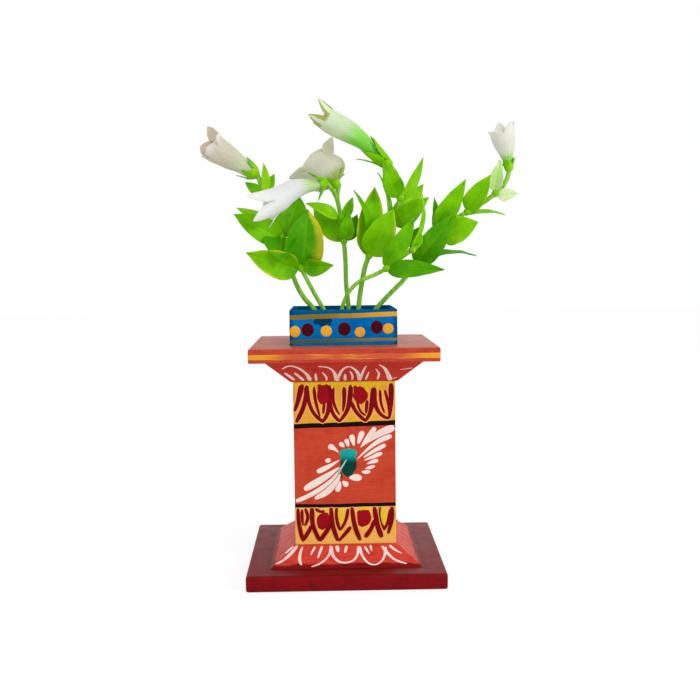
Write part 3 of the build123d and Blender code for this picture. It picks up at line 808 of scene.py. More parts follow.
# %% White petals on the slopes
skirt_face = face_frame((0, -32.7 * mm, 12.5 * mm), up=(0, 12.15, 9.0), facing=(0, -9.0, 12.15))
skirt_grid = (0.515 * mm, -0.617 * mm, (0, 12.25))
skirt_petals = [
    [(-49, 1, 3.5), (-55, 9, 3.5), (-63, 16, 2.5), (-69, 18.5, 1.5)],
    [(-53, 1.5, 2), (-60, 8, 1.5)],
    [(-43.5, 2, 2), (-46, 9, 3), (-46, 17, 3), (-44, 20, 1.5)],
    [(-15, 3, 3), (-17, 12, 2), (-26, 19.5, 2), (-34, 22, 1.5)],
    [(-15, 2, 3.5), (-14, 11, 3.5), (-8, 17.5, 2.5), (-1, 19, 2), (7, 17, 2), (11.5, 11, 2.5),
     (12.5, 3, 3.5)],
    [(13.5, 3, 3.5), (15.5, 12, 2.5), (21, 19.5, 2), (27.5, 21.5, 1.5), (34, 19, 1.5), (38.5, 12, 2.5),
     (39.5, 4, 3.5)],
    [(36.5, 3, 3.5), (41, 10, 3), (48, 17, 2.5), (59, 20.5, 1.5)],
    [(-31, 2, 2.5), (-35, 10, 1.5)], [(-24, 2, 3), (-28, 13, 2)], [(-9, 2, 4), (-8, 7, 3)],
    [(0.5, 2, 3), (-1, 8, 2.5)], [(19, 3, 3), (23, 10, 1.5)], [(24.5, 2, 3), (25.5, 7, 1.5)],
    [(44, 2, 3), (48, 6, 2.5), (55, 10, 1)],
]
all_round(strokes(skirt_petals, *skirt_grid), skirt_face, "skirt_petals", skirt_white_paint, (0, 2))

side_lines = [
    [(-46, 1, 1.3), (-55, 10, 1.0), (-66, 21, 0.6)], [(-33, 1, 1.3), (-41, 12, 1.0), (-48, 22, 0.6)],
    [(-16, 1, 1.3), (-22, 12, 1.0), (-26, 20, 0.6)], [(2, 1, 1.3), (2, 11, 1.0), (1, 22, 0.6)],
    [(19, 1, 1.3), (23, 12, 1.0), (26, 20, 0.6)], [(34, 1, 1.3), (41, 11, 1.0), (47, 22, 0.6)],
    [(46, 1, 1.3), (56, 11, 1.0), (66, 21, 0.6)],
]
all_round(strokes(side_lines, *skirt_grid), skirt_face, "skirt_side_lines", beige_paint, (1, 3))

capital_face = face_frame((0, -33.6 * mm, 107.25 * mm), up=(0, -12.8, 11.5), facing=(0, -11.5, -12.8))
capital_grid = (0.495 * mm, 0.882 * mm, (0, 9.75))
capital_petals = [
    [(-62, 13, 1.5), (-58, 15.5, 2), (-52, 16, 2), (-44, 13, 2.5), (-37, 7, 3.5), (-35, 2, 5)],
    [(-60, 9, 2.5), (-53, 4, 4), (-51, 2, 2)], [(-50, 9, 2.5), (-45, 5, 3.5), (-42, 2, 3.5)],
    [(-26, 15, 1.5), (-17, 14.5, 2), (-11, 11, 2.5), (-8, 4, 4.5), (-7, 1.5, 6)],
    [(-29, 8, 2), (-28.5, 1.5, 3)], [(-22, 9, 1.5), (-18, 5, 2.5), (-18, 1.5, 2)],
    [(-6, 4, 3.5), (-3, 11, 2.5), (4, 15.5, 2), (11, 12, 2.5), (15, 7, 4), (16, 1.5, 5)],
    [(1, 7, 2.5), (1, 1.5, 3.5)], [(6, 10, 1.5), (9, 5, 2.5), (8, 1.5, 2)],
    [(22, 15, 1.5), (19, 10, 2.5), (17, 3, 3)],
    [(25, 9, 1.5), (22, 2, 2.5)], [(32, 12, 1.5), (36, 7, 2.5), (34, 2, 2)],
    [(35, 16, 1.5), (41, 13, 3), (45, 6, 4.5), (47, 1.5, 5.5)],
    [(57, 11, 1), (69, 12.5, 1)], [(54, 3.5, 1), (49, 2.5, 1)],
]
all_round(strokes(capital_petals, *capital_grid), capital_face, "capital_petals", pink_white_paint)

# %% [markdown]
# ## Dots on the box
# Yellow and maroon dots alternate between the gold lines. A dot is a drop of enamel: a sphere pressed
# almost flat, a little out of round, so that each catches its own small highlight.

# %% The dots
box_face = face_frame((0, -box_half, 0), (0, 0, 1), (0, -1, 0))
dot_height = 0.22


def dots(spots, name, finish):
    """Drops of paint on the box. A spot is how far across and up it is, and its two radii there."""
    made = []
    for spot_x, spot_z, across, up in spots:
        fresh_start()
        bpy.ops.mesh.primitive_uv_sphere_add(segments=32, ring_count=16, radius=1)
        drop = bpy.context.object
        drop.scale = Vector((across, up, dot_height)) * mm
        drop.location = Vector((spot_x, spot_z, 0)) * mm
        made.append(settle(drop))
    all_round(gather(made), box_face, name, finish)


dots([(-24.5, 127.2, 2.7, 2.85), (-8.7, 127.3, 2.85, 2.8), (8.3, 126.6, 2.6, 2.55),
      (22.6, 128.2, 2.75, 2.65)], "yellow_dots", yellow_dot_paint)
dots([(-18.1, 128.0, 3.2, 3.4), (0.4, 128.2, 3.3, 3.4), (16.8, 129.0, 3.1, 3.4)],
     "maroon_dots", maroon_dot_paint)

# %% [markdown]
# ## The foam plug
# Dry florist's foam: dull green, full of tiny open cells and crumbled where the stems go in. It is a block
# whose upper side is cut into many small faces and roughened by displacement.

# %% Foam
foam_finish, tree, shader, place = start_finish("foam_finish", Roughness=0.95)
cells = add(tree, "TexVoronoi", {"Vector": place, "Scale": 1500.0}).outputs["Distance"]
crumbs = noise(tree, place, 500.0, 5.0, 0.7)
complete(tree, shader, blend_colors(tree, crumbs, tone(0.16, 0.30, 0.14), tone(0.36, 0.50, 0.24)),
         maths(tree, "MULTIPLY_ADD", cells, 0.0003, maths(tree, "MULTIPLY", crumbs, 0.0004)))

foam_inset = 0.5
foam_cuts = 60
low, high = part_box("foam_plug")
foam_crumble = bpy.data.textures.new("foam_crumble", "CLOUDS")
foam_crumble.noise_scale = 0.0025
plug = board(low + Vector((foam_inset, foam_inset, 0)) * mm,
             high - Vector((foam_inset, foam_inset, foam_inset)) * mm, edge=0.8 * mm)
work_on(plug)
bpy.ops.object.mode_set(mode="EDIT")
pick(plug, "FACE", lambda middle, normal: normal.z > 0.9)
bpy.ops.mesh.subdivide(number_cuts=foam_cuts)
bpy.ops.object.mode_set(mode="OBJECT")
modify(plug, "DISPLACE", texture=foam_crumble, texture_coords="GLOBAL", strength=0.8 * mm, mid_level=0.5)
hand_in(plug, "foam_plug_crumbled", "plant", foam_finish, ["foam_plug"])

# %% [markdown]
# ## The leaf
# One leaf is modelled and every other is a copy of it, as one mould shapes them all. It starts as an
# upright grid. Each row is scaled to the outline's width there, the midrib is pushed back to a crease,
# and the rim gets a slight wave. Its UV map stays square, so the finish can tell rim from midrib.

# %% The leaf mould
leaf_columns = 8
leaf_rows = 16
leaf_outline = (0.20, 0.52, 0.76, 0.90, 0.975, 1.0, 0.99, 0.955, 0.90, 0.83, 0.745, 0.645, 0.53, 0.405,
                0.27, 0.135, 0.012)
rib_depth = 0.045
rim_wave = 0.035                  # how far every second row's rim is pushed forward, left and right by turns
rim_starts = 0.42                 # where the rim starts, as a share of the row's width from the midrib

fresh_start()
bpy.ops.mesh.primitive_grid_add(x_subdivisions=leaf_columns, y_subdivisions=leaf_rows, size=1,
                                location=(0, 0, 0.5), rotation=(math.radians(90), 0, 0))
leaf_mould = settle(bpy.context.object)
bpy.ops.object.mode_set(mode="EDIT")
for row, share in enumerate(leaf_outline):
    height = row / leaf_rows
    pick(leaf_mould, "VERT", lambda place: abs(place.z - height) < 0.01)
    bpy.ops.transform.resize(value=(share, 1, 1), center_override=(0, 0, height))
pick(leaf_mould, "VERT", lambda place: abs(place.x) < 0.001 and place.z < 0.95)
bpy.ops.transform.translate(value=(0, rib_depth, 0))
for row in range(2, leaf_rows, 2):
    height = row / leaf_rows
    side = 1 if row % 4 else -1
    pick(leaf_mould, "VERT",
         lambda place: abs(place.z - height) < 0.01 and place.x * side > rim_starts * leaf_outline[row])
    bpy.ops.transform.translate(value=(0, -rim_wave, 0))
bpy.ops.object.mode_set(mode="OBJECT")
print("leaf mould:", len(leaf_mould.data.vertices), "points")

# %% [markdown]
# ## Setting a leaf
# A copy is scaled to its length and width, cupped across, bowed along its length, and stood between its
# foot on the stem and its tip. The curves are the same as the solid's: the plastic is cupped to a radius
# of 11 mm and bowed to a radius of 34 mm. Three numbers are written on its points for the finish: its shade,
# how broad its yellow margin is, and whether that margin is on both sides or on the right only.

# %% Placing a leaf
plug_top = 131.0
cup_radius = 11.0
bow_radius = 34.0
mould_depth = 0.35                # how deep the mould's creases are, as a share of the leaf's length
leaf_wave = bpy.data.textures.new("leaf_wave", "CLOUDS")
leaf_wave.noise_scale = 0.007


def spray_point(x, y, z):
    """A point of the spray, measured from the middle of the plug's top, in metres."""
    return Vector((x, y, z + plug_top)) * mm


def frontward(direction):
    """Of the directions square to this one, the one that points most to the front."""
    front = Vector((0, -1, 0))
    return (front - direction * front.dot(direction)).normalized()


def write(piece, name, values, kind="FLOAT", field="value"):
    """Write a number to every point of a piece, for its finish to read."""
    piece.data.attributes.new(name, kind, "POINT").data.foreach_set(field, values)


def mark_green(piece, shade, rim=0.0, side=0.0):
    """Write one shade, one margin and one side to a whole leaf, collar or cup."""
    for name, value in (("shade", shade), ("rim", rim), ("side", side)):
        write(piece, name, [value] * len(piece.data.vertices))


def set_leaf(foot, tip, width, turn, shade, rim=0.0, side=0.0, thick=0.5, wave=1.2):
    """One leaf from its foot to its tip, in metres, its width in millimetres, turned about its length.
    Rim is how broad its yellow margin is, and side is 1 for a margin on the right only."""
    length = (tip - foot).length
    leaf = twin(leaf_mould)
    flat_width = 2 * cup_radius * math.asin(width / 2 / cup_radius)
    settle(leaf, Matrix.Diagonal((flat_width * mm, length * mould_depth, length, 1)))
    modify(leaf, "SIMPLE_DEFORM", deform_method="BEND", deform_axis="Z",
           angle=-flat_width / cup_radius)
    bow = length / mm / bow_radius
    modify(leaf, "SIMPLE_DEFORM", deform_method="BEND", deform_axis="X", angle=bow)
    tip_now = max((point.co for point in leaf.data.vertices), key=lambda place: place.length)
    straighten = tip_now.rotation_difference(Vector((0, 0, 1))).to_matrix().to_4x4()
    stretch = length / tip_now.length
    along = (tip - foot).normalized()
    facing = frontward(along)
    facing.rotate(Matrix.Rotation(math.radians(turn), 3, along))
    across = (-facing).cross(along)
    axes = Matrix((across, -facing, along)).transposed().to_4x4()
    settle(leaf, Matrix.Translation(foot) @ axes @ Matrix.Scale(stretch, 4) @ straighten)
    if wave:
        modify(leaf, "DISPLACE", texture=leaf_wave, texture_coords="GLOBAL", strength=wave * mm,
               mid_level=0.5)
    modify(leaf, "SOLIDIFY", thickness=thick * mm, offset=0)
    modify(leaf, "SUBSURF", levels=1, render_levels=1)
    mark_green(leaf, shade, rim, side)
    return leaf


# %% [markdown]
# ## Leaf plastic
# The plastic is a slightly uneven green. The ribs are fine lighter lines, drawn from the leaf's UV map, and
# the margin of an old leaf is yellow. The numbers that were written on each leaf choose its shade between
# deep, middle, pale and milky, and how far in the yellow comes. The stems get a plainer green of their own.

# %% Leaf finish
def leaf_plastic(name, deep, middle, pale, milky, rim_color):
    """The green plastic, with its four shades from dark to light and the colour of its margin."""
    finish, tree, shader, place = start_finish(name, Specular_IOR_Level=0.06)
    square = parts_of(tree, add(tree, "UVMap", uv_map="UVMap").outputs["UV"])
    u, v = square["X"], square["Y"]
    shade, rim, side = (written(tree, number) for number in ("shade", "rim", "side"))
    rightward = maths(tree, "MULTIPLY_ADD", u, 2.0, -1.0)
    sideways = maths(tree, "ABSOLUTE", rightward)
    marginal = maths(tree, "ADD", maths(tree, "MULTIPLY", sideways, maths(tree, "SUBTRACT", 1.0, side)),
                     maths(tree, "MULTIPLY", rightward, side))
    cloud = noise(tree, place, 130.0, 3.0)
    fine_cloud = noise(tree, place, 500.0, 3.0)
    light = maths(tree, "MULTIPLY_ADD", cloud, 0.9, maths(tree, "SUBTRACT", shade, 0.45))
    body = blend_colors(tree, step(tree, light, 0.0, 0.55), deep, middle)
    body = blend_colors(tree, step(tree, light, 0.5, 0.95), body, pale)
    body = blend_colors(tree, step(tree, light, 1.2, 2.0), body, milky)
    near_tip = maths(tree, "MULTIPLY", step(tree, v, 0.7, 1.0), 0.3)
    rim_place = maths(tree, "ADD", maths(tree, "MULTIPLY_ADD", cloud, 0.5, marginal), near_tip)
    rim_here = step(tree, maths(tree, "MULTIPLY_ADD", rim, 0.45, rim_place), 1.35, 1.75)
    rib_wave = maths(tree, "MULTIPLY", maths(tree, "SUBTRACT", v,
                                             maths(tree, "MULTIPLY", sideways, 0.25)), 7.0)
    rib_line = maths(tree, "ABSOLUTE", maths(tree, "SUBTRACT", maths(tree, "FRACT", rib_wave), 0.5))
    side_ribs = maths(tree, "MULTIPLY", step(tree, rib_line, 0.16, 0.02), 0.4)
    midrib = step(tree, sideways, 0.11, 0.02)
    ribs = maths(tree, "MAXIMUM", side_ribs, midrib)
    body = blend_colors(tree, maths(tree, "MULTIPLY", ribs, 0.16), body, pale)
    body = blend_colors(tree, maths(tree, "MULTIPLY", rim_here, 0.8), body, rim_color)
    complete(tree, shader, body,
             maths(tree, "MULTIPLY_ADD", ribs, -0.00012, maths(tree, "MULTIPLY", cloud, 0.0002)),
             maths(tree, "MULTIPLY_ADD", fine_cloud, 0.25, 0.28))
    print(f"{name}: {len(tree.nodes)} nodes")
    return finish


leaf_finish = leaf_plastic("leaf_plastic", tone(0.27, 0.60, 0.0), tone(0.46, 0.76, 0.0),
                           tone(0.62, 0.85, 0.12), tone(0.86, 0.93, 0.72), tone(0.84, 0.82, 0.20))

stem_finish, tree, shader, place = start_finish("stem_plastic", Specular_IOR_Level=0.16, Roughness=0.4)
stem_cloud = noise(tree, vector_maths(tree, "MULTIPLY", place, (600.0, 600.0, 80.0)), 1.0, 3.0)
complete(tree, shader, blend_colors(tree, step(tree, stem_cloud, 0.35, 0.7), tone(0.45, 0.69, 0.10),
                                    tone(0.60, 0.82, 0.30)), maths(tree, "MULTIPLY", stem_cloud, 0.0001))


def give(node, finish):
    """Put a finish on a solid that is shown as it is."""
    nodes[node].data.materials.clear()
    nodes[node].data.materials.append(finish)
    print(f"{node}: {finish.name}")


for node in nodes:
    if node.startswith("stem_"):
        give(node, stem_finish)

# %% [markdown]
# ## Stems and collars
# The stems are round in section and stay as the solids have them. Each tuft of leaves springs from a collar
# moulded round its stem: a short barrel, turned from a circle ring by ring.

# %% Where the stems run, and a turned shape
# Each stem: its radius, and the points that it runs through.
routes = {
    "stem_a": (1.3, [(-11.5, 4.0, -6.5), (-13.8, 4.0, 5.0), (-21.0, 4.0, 12.5), (-25.0, 4.0, 20.5),
                     (-32.3, 5.0, 43.0), (-39.0, 6.0, 61.5), (-42.0, 6.0, 71.0), (-44.5, 6.0, 78.5)]),
    "stem_b": (1.1, [(-8.0, -9.0, -6.5), (-9.0, -9.0, 5.0), (-14.0, -9.0, 13.5), (-20.0, -9.0, 25.0),
                     (-23.5, -9.0, 32.0), (-29.0, -9.0, 39.5), (-32.5, -8.5, 48.5)]),
    "stem_c": (1.05, [(-1.5, -11.0, -6.5), (-1.0, -11.0, 6.5), (3.2, -11.0, 16.0), (8.5, -11.5, 21.0),
                      (20.0, -12.0, 25.6), (28.0, -12.0, 31.0), (40.0, -12.0, 39.5)]),
    "stem_d": (1.2, [(4.2, 3.0, -6.5), (3.4, 3.0, 7.0), (2.1, 3.0, 18.0), (1.9, 3.0, 33.5),
                     (1.0, 3.0, 44.0), (-0.4, 3.4, 56.0), (-2.3, 5.0, 65.5), (-1.0, 6.4, 72.0)]),
    "stem_e": (1.3, [(8.0, -1.0, -6.5), (8.4, -1.0, 6.5), (9.8, -1.0, 17.0), (12.0, -1.0, 28.5),
                     (15.0, -0.5, 36.0), (22.5, 1.0, 46.0), (28.0, 2.0, 53.5), (31.8, 2.0, 66.0),
                     (30.0, 1.5, 76.0), (25.4, 0.3, 82.0)]),
    "stem_f": (1.25, [(15.0, 3.0, -6.5), (16.0, 3.0, 4.0), (26.0, 3.0, 14.5), (34.5, 4.0, 22.5),
                      (40.0, 5.0, 32.0), (49.5, 5.0, 45.0), (58.0, 5.0, 51.8), (69.0, 5.0, 58.0),
                      (80.0, 5.0, 64.5), (88.0, 5.0, 72.0), (90.0, 5.0, 80.0)]),
}
print("stems:", ", ".join(routes))


def turned(rings, segments=20, close=True):
    """A round shape along +Z: a circle, extruded and scaled from ring to ring of height and radius."""
    fresh_start()
    (start, radius), *others = rings
    bpy.ops.mesh.primitive_circle_add(vertices=segments, radius=radius * mm, location=(0, 0, start * mm),
                                      fill_type="TRIFAN" if close else "NOTHING")
    shape = settle(bpy.context.object)
    bpy.ops.object.mode_set(mode="EDIT")
    pick(shape, "VERT", lambda place: place.xy.length > radius * mm * 0.5)
    now = radius
    for height, radius in others:
        bpy.ops.mesh.extrude_region_move(
            MESH_OT_extrude_region={"use_normal_flip": False},
            TRANSFORM_OT_translate={"value": (0, 0, (height - start) * mm)})
        bpy.ops.transform.resize(value=(radius / now, radius / now, 1),
                                 center_override=(0, 0, height * mm))
        start, now = height, radius
    if close:
        bpy.ops.mesh.edge_face_add()
        bpy.ops.mesh.poke()
    bpy.ops.mesh.select_all(action="SELECT")
    bpy.ops.mesh.normals_make_consistent(inside=False)
    bpy.ops.object.mode_set(mode="OBJECT")
    return shape


def upright_at(place, direction):
    """A matrix that stands a shape made along +Z at a place, pointing in a direction."""
    turn = Vector((0, 0, 1)).rotation_difference(direction).to_matrix().to_4x4()
    return Matrix.Translation(place) @ turn


# %% [markdown]
# ## The tufts
# A tuft is a collar with two to four leaves. The rows give, for each leaf, where its tip is, its width, how
# far it is turned and its shade. Its foot follows: the side of the collar that faces the tip.

# %% Tufts of leaves
collar_wall = 0.9
collar_end, collar_belly = 1.9, 1.0     # heights of a collar's ends and of its belly's, from its middle


def tuft(name, stem, run, part_way, leaves):
    """A collar part of the way along one run of a stem, with its leaves."""
    radius, points = routes[stem]
    start = spray_point(*points[run])
    end = spray_point(*points[run + 1])
    middle = start.lerp(end, part_way)
    upward = (end - start).normalized()
    outer = radius + collar_wall
    collar = turned([(-collar_end, radius * 1.02), (-collar_belly, outer * 0.88), (0.0, outer * 0.93),
                     (collar_belly, outer * 0.88), (collar_end, radius * 1.02)])
    settle(collar, upright_at(middle, upward))
    mark_green(collar, 0.6)
    made = [collar]
    for tip, width, turn, shade, *rim in leaves:
        reach = spray_point(*tip) - middle
        side = (reach - upward * upward.dot(reach)).normalized()
        foot = middle + side * (radius + collar_wall / 2) * mm
        made.append(set_leaf(foot, spray_point(*tip), width, turn, shade, *rim))
    whole = gather(made)
    smooth(whole, 50)
    hand_in(whole, name + "_moulded", "plant", leaf_finish, [name])


tufts = {
    "leaves_a_top": ("stem_a", 5, 0.75, [((-41.0, 6.0, 84.0), 5.0, 20, 0.7),
                                         ((-50.8, 2.5, 73.5), 6.0, 0, 0.2),
                                         ((-35.5, 10.0, 78.5), 5.5, 0, 0.5)]),
    "leaves_b_low": ("stem_b", 3, 0.45, [((-49.5, -15.0, 36.2), 14.5, -8, 0.40, 0.8),
                                         ((-17.6, -9.5, 58.5), 19.5, 0, 0.0, 1.7, 1.0),
                                         ((-4.5, -16.5, 29.5), 10.0, 20, 0.3)]),
    "leaves_b_top": ("stem_b", 5, 0.5, [((-55.5, -14.0, 56.0), 13.0, 0, 0.4),
                                        ((-55.5, 1.0, 60.0), 9.0, 30, 0.9),
                                        ((-22.0, -1.0, 66.0), 17.0, 0, 0.3),
                                        ((-32.0, -19.0, 31.5), 17.0, 0, 0.05)]),
    "leaves_c_low": ("stem_c", 4, 0.35, [((37.3, -15.0, 54.0), 10.5, 10, 0.25),
                                         ((52.5, -19.0, 26.6), 9.5, -12, 0.1)]),
    "leaves_c_top": ("stem_c", 5, 0.70, [((41.4, -10.0, 66.5), 8.0, 70, 0.6),
                                         ((40.5, -9.0, 49.0), 9.0, 0, 0.4)]),
    "leaves_d_low": ("stem_d", 3, 0.85, [((-15.0, 18.5, 61.5), 11.5, 0, 0.6, 0.8),
                                         ((4.0, -3.5, 57.0), 8.5, 0, 0.3),
                                         ((8.6, 8.0, 56.5), 8.5, 0, 0.1)]),
    "leaves_d_top": ("stem_d", 4, 0.88, [((6.3, 5.5, 65.5), 6.0, 25, 0.5),
                                         ((-18.8, -3.0, 62.0), 8.0, 35, 0.7)]),
    "leaves_e_low": ("stem_e", 3, 0.8, [((6.4, -1.5, 69.0), 9.0, 60, 0.3),
                                        ((18.1, 9.0, 71.0), 13.5, 0, 0.5, 1.0),
                                        ((27.0, -7.0, 58.5), 16.0, 0, 0.55, 1.0, 1.0),
                                        ((17.5, 4.0, 59.5), 7.0, 30, 0.5)]),
    "leaves_e_middle": ("stem_e", 5, 0.7, [((45.8, -5.0, 64.4), 12.0, 0, 0.5),
                                           ((44.5, 12.0, 72.5), 11.0, 0, 0.6),
                                           ((19.3, 6.0, 78.5), 6.0, 65, 0.6)]),
    "leaves_e_top": ("stem_e", 6, 0.88, [((21.5, -9.0, 83.0), 10.5, 0, 0.4),
                                         ((43.8, 5.0, 86.3), 6.0, 25, 0.6)]),
    "leaves_f_low": ("stem_f", 3, 0.8, [((59.3, -4.0, 56.0), 13.5, 0, 0.1),
                                        ((73.9, 13.0, 33.4), 8.0, -70, 0.2)]),
    "leaves_f_middle": ("stem_f", 5, 0.2, [((72.6, 1.0, 51.5), 15.5, 0, 0.65),
                                           ((65.8, 0.0, 74.0), 11.0, 0, 0.4),
                                           ((49.9, 8.0, 65.0), 6.0, 30, 0.2)]),
    "leaves_f_top": ("stem_f", 6, 0.85, [((78.5, -3.0, 76.0), 11.0, 0, 0.45, 0.6),
                                         ((73.4, 11.0, 73.0), 6.0, 60, 0.3),
                                         ((89.3, 12.0, 55.4), 6.0, -70, 0.6)]),
    "leaves_f_bract": ("stem_f", 8, 0.3, [((84.6, 1.5, 84.0), 8.0, -10, 1.65),
                                          ((94.4, 4.0, 66.6), 7.0, 0, 1.9)]),
}
for name, (stem, run, part_way, leaves) in tufts.items():
    tuft(name, stem, run, part_way, leaves)

# %% [markdown]
# ## The flowers
# A flower is a thin trumpet with five pointed lobes. It is turned like the collars, as an open shell. Each
# lobe is then drawn out of its fifth of the rim, row by row, narrower each time and leaning out as it goes.
# A flare makes a lobe broader past its root than there, as a petal is. Last, the middle of the trumpet is
# pushed up, which arches it as its weight does, and the shell gets its thickness. Numbers written along
# the flower, around it and towards its lobes' margins let the finish follow its form.

# %% The trumpet
lobe_count = 5
spokes_per_lobe = 12
petal_thick = 0.45
lobe_rows = 6
body_rings = 12
least_width = 0.05                # a lobe's tip, as a share of its root's width
body_share = 0.75                 # how much of the way from foot to lobe tip is the trumpet's body
petal_wave = bpy.data.textures.new("petal_wave", "CLOUDS")
petal_wave.noise_scale = 0.009


def curve_at(share, ends):
    """A cubic curve through its first and last value, drawn by the two between."""
    a, b, c, d = ends
    rest = 1 - share
    return rest ** 3 * a + 3 * rest ** 2 * share * b + 3 * rest * share ** 2 * c + share ** 3 * d


def trumpet(length, throat, neck, swell, mouth, lobes, spin, roundness, flare, arch):
    """A trumpet along +Z with its closed end at the origin, sizes in millimetres. Each lobe is a row of
    its length and how far its root and its tip lean out, in degrees. Spin turns the first lobe. The sides
    of a lobe are straight at a roundness of 1 and fuller above, and flare widens it past its root. Arch is
    how far the middle of the trumpet is pushed up, which bends it."""
    grow = mouth - throat

    def wall(height):
        share = max(0.0, (height - neck) / (length - neck))
        return curve_at(share, (throat, throat + grow * swell, throat + grow * min(1, swell + 1 / 3),
                                mouth))

    heights = [0.0, neck] + [neck + (length - neck) * ring / body_rings
                             for ring in range(1, body_rings + 1)]
    shell = turned([(height, wall(height)) for height in heights], lobe_count * spokes_per_lobe,
                   close=False)
    work_on(shell)
    margin = []
    for point in shell.data.vertices:
        turns = math.atan2(point.co.y, point.co.x) / (2 * math.pi) * lobe_count
        margin.append(2 * abs(turns - round(turns)))
    write(shell, "margin", margin)
    bpy.ops.object.mode_set(mode="EDIT")
    pick(shell, "VERT", lambda place: place.z < 0.0001 * mm)
    bpy.ops.mesh.edge_face_add()
    bpy.ops.mesh.poke()
    upward = Vector((0, 0, 1))
    for number, (reach, root_lean, tip_lean) in enumerate(lobes):
        angle = 2 * math.pi * number / lobe_count
        out = Vector((math.cos(angle), math.sin(angle), 0))

        def on_this_rim(place, along):
            return (abs(place.z - length * mm) < 0.01 * mm and place.xy.length > 0.9 * mouth * mm
                    and place.xy.normalized().dot(out.xy) > math.cos(math.pi / lobe_count))

        pick(shell, "EDGE", on_this_rim)
        heart = out * mouth * mm + upward * length * mm
        now = 1.0
        for row in range(1, lobe_rows + 1):
            way = row / lobe_rows
            share = max(least_width, (1 - way ** roundness) * (1 + flare * way))
            lean = math.radians(root_lean + (tip_lean - root_lean) * way)
            stride = (out * math.sin(lean) + upward * math.cos(lean)) * reach * mm / lobe_rows
            heart = heart + stride
            bpy.ops.mesh.extrude_region_move(TRANSFORM_OT_translate={"value": stride})
            bpy.ops.transform.resize(value=(share / now,) * 3, center_override=heart)
            now = share
    bpy.ops.mesh.select_all(action="SELECT")
    bpy.ops.mesh.normals_make_consistent(inside=False)
    bpy.ops.object.mode_set(mode="OBJECT")
    some_wall = min(shell.data.polygons, key=lambda face: abs(face.center.z - length * mm / 2))
    if some_wall.normal.xy.dot(some_wall.center.xy) < 0:
        bpy.ops.object.mode_set(mode="EDIT")
        bpy.ops.mesh.flip_normals()
        bpy.ops.object.mode_set(mode="OBJECT")

    longest = max(lobe[0] for lobe in lobes)
    along, fibre = [], []
    for point in shell.data.vertices:
        x, y, z = point.co / mm
        beyond = math.hypot(z - length, math.hypot(x, y) - mouth) / longest if z > length + 0.01 else 0
        along.append(body_share * min(1, z / length) + (1 - body_share) * min(1, beyond))
        around = math.atan2(y, x)
        fibre.extend((math.cos(around), math.sin(around), z / length * 0.12))
    write(shell, "along", along)
    write(shell, "fibre", fibre, "FLOAT_VECTOR", "vector")
    settle(shell, Matrix.Rotation(math.radians(spin), 4, "Z"))
    if arch:
        bpy.ops.object.mode_set(mode="EDIT")
        pick(shell, "VERT", lambda place: abs(place.z - length * mm / 2) < 0.05 * length * mm)
        bpy.ops.transform.translate(value=(0, arch * mm, 0), use_proportional_edit=True,
                                    proportional_edit_falloff="SMOOTH", proportional_size=length * mm / 2)
        bpy.ops.object.mode_set(mode="OBJECT")
    modify(shell, "DISPLACE", texture=petal_wave, texture_coords="GLOBAL", strength=1.4 * mm,
           mid_level=0.5)
    outer_points = len(shell.data.vertices)
    modify(shell, "SOLIDIFY", thickness=petal_thick * mm, offset=-1)
    inner_points = len(shell.data.vertices) - outer_points
    write(shell, "inside", [0.0] * outer_points + [1.0] * inner_points)
    modify(shell, "SUBSURF", levels=1, render_levels=1)
    smooth(shell, 60)
    return shell


def front_at(place, direction):
    """A matrix that stands a shape made along +Z at a place, pointing in a direction, its X to the front."""
    front = frontward(direction)
    turn = Matrix((front, direction.cross(front), direction)).transposed().to_4x4()
    return Matrix.Translation(place) @ turn


# %% [markdown]
# ## Petal plastic
# Thin milky plastic. The throat is tinted green, the body is pale, and the lip, the inside and the margins
# of the lobes have their own tints. Fine streaks run the length of the petals. Some light passes through,
# which subsurface scattering gives.

# %% Petal finish
def petal_plastic(name, throat_color, body_color, lip_color, inner_color, margin_color, throat_end,
                  lip_start, streaks, margin_start):
    """One flower's plastic: its five colours, where along it the throat's tint ends and the lip's starts,
    how strong its streaks are and how far from a lobe's middle its margin starts."""
    finish, tree, shader, place = start_finish(
        name, Specular_IOR_Level=0.12, Roughness=0.5, Subsurface_Weight=0.5,
        Subsurface_Scale=0.004, Subsurface_Radius=(1.0, 1.0, 0.8))
    along, inside, margin = (written(tree, number) for number in ("along", "inside", "margin"))
    fibre = written(tree, "fibre", "Vector")
    cloud = noise(tree, place, 150.0, 3.0)
    lines = noise(tree, fibre, 9.0, 4.0, 0.6)
    ragged = maths(tree, "MULTIPLY_ADD", lines, 0.30, maths(tree, "SUBTRACT", along, 0.15))
    body = blend_colors(tree, step(tree, ragged, lip_start, lip_start + 0.15), body_color, lip_color)
    edge_place = maths(tree, "MULTIPLY_ADD", cloud, 0.3, margin)
    edge_here = maths(tree, "MULTIPLY", step(tree, edge_place, margin_start, margin_start + 0.25),
                      step(tree, along, 0.74, 0.78))
    body = blend_colors(tree, edge_here, body, margin_color)
    body = blend_colors(tree, step(tree, inside, 0.3, 0.7), body, inner_color)
    body = blend_colors(tree, step(tree, ragged, throat_end - 0.12, throat_end + 0.12), throat_color, body)
    streak = maths(tree, "MULTIPLY", step(tree, lines, 0.50, 0.68), streaks)
    body = blend_colors(tree, streak, body, lip_color)
    complete(tree, shader, body,
             maths(tree, "MULTIPLY_ADD", lines, 0.0002, maths(tree, "MULTIPLY", cloud, 0.0002)))
    print(f"{name}: {len(tree.nodes)} nodes")
    return finish


# %% [markdown]
# ## The cups
# Each flower stands in a small green cup with five narrow sepals. The cup is turned, and the sepals are
# copies of the leaf that lean outwards by their own angle.

# %% Cups and sepals
calyx_floor = 2.4
calyx_wall = 0.7
calyx_height = 5.0
flower_fit = 0.1
sepal_seat = 0.8
sepal_root = 1.6


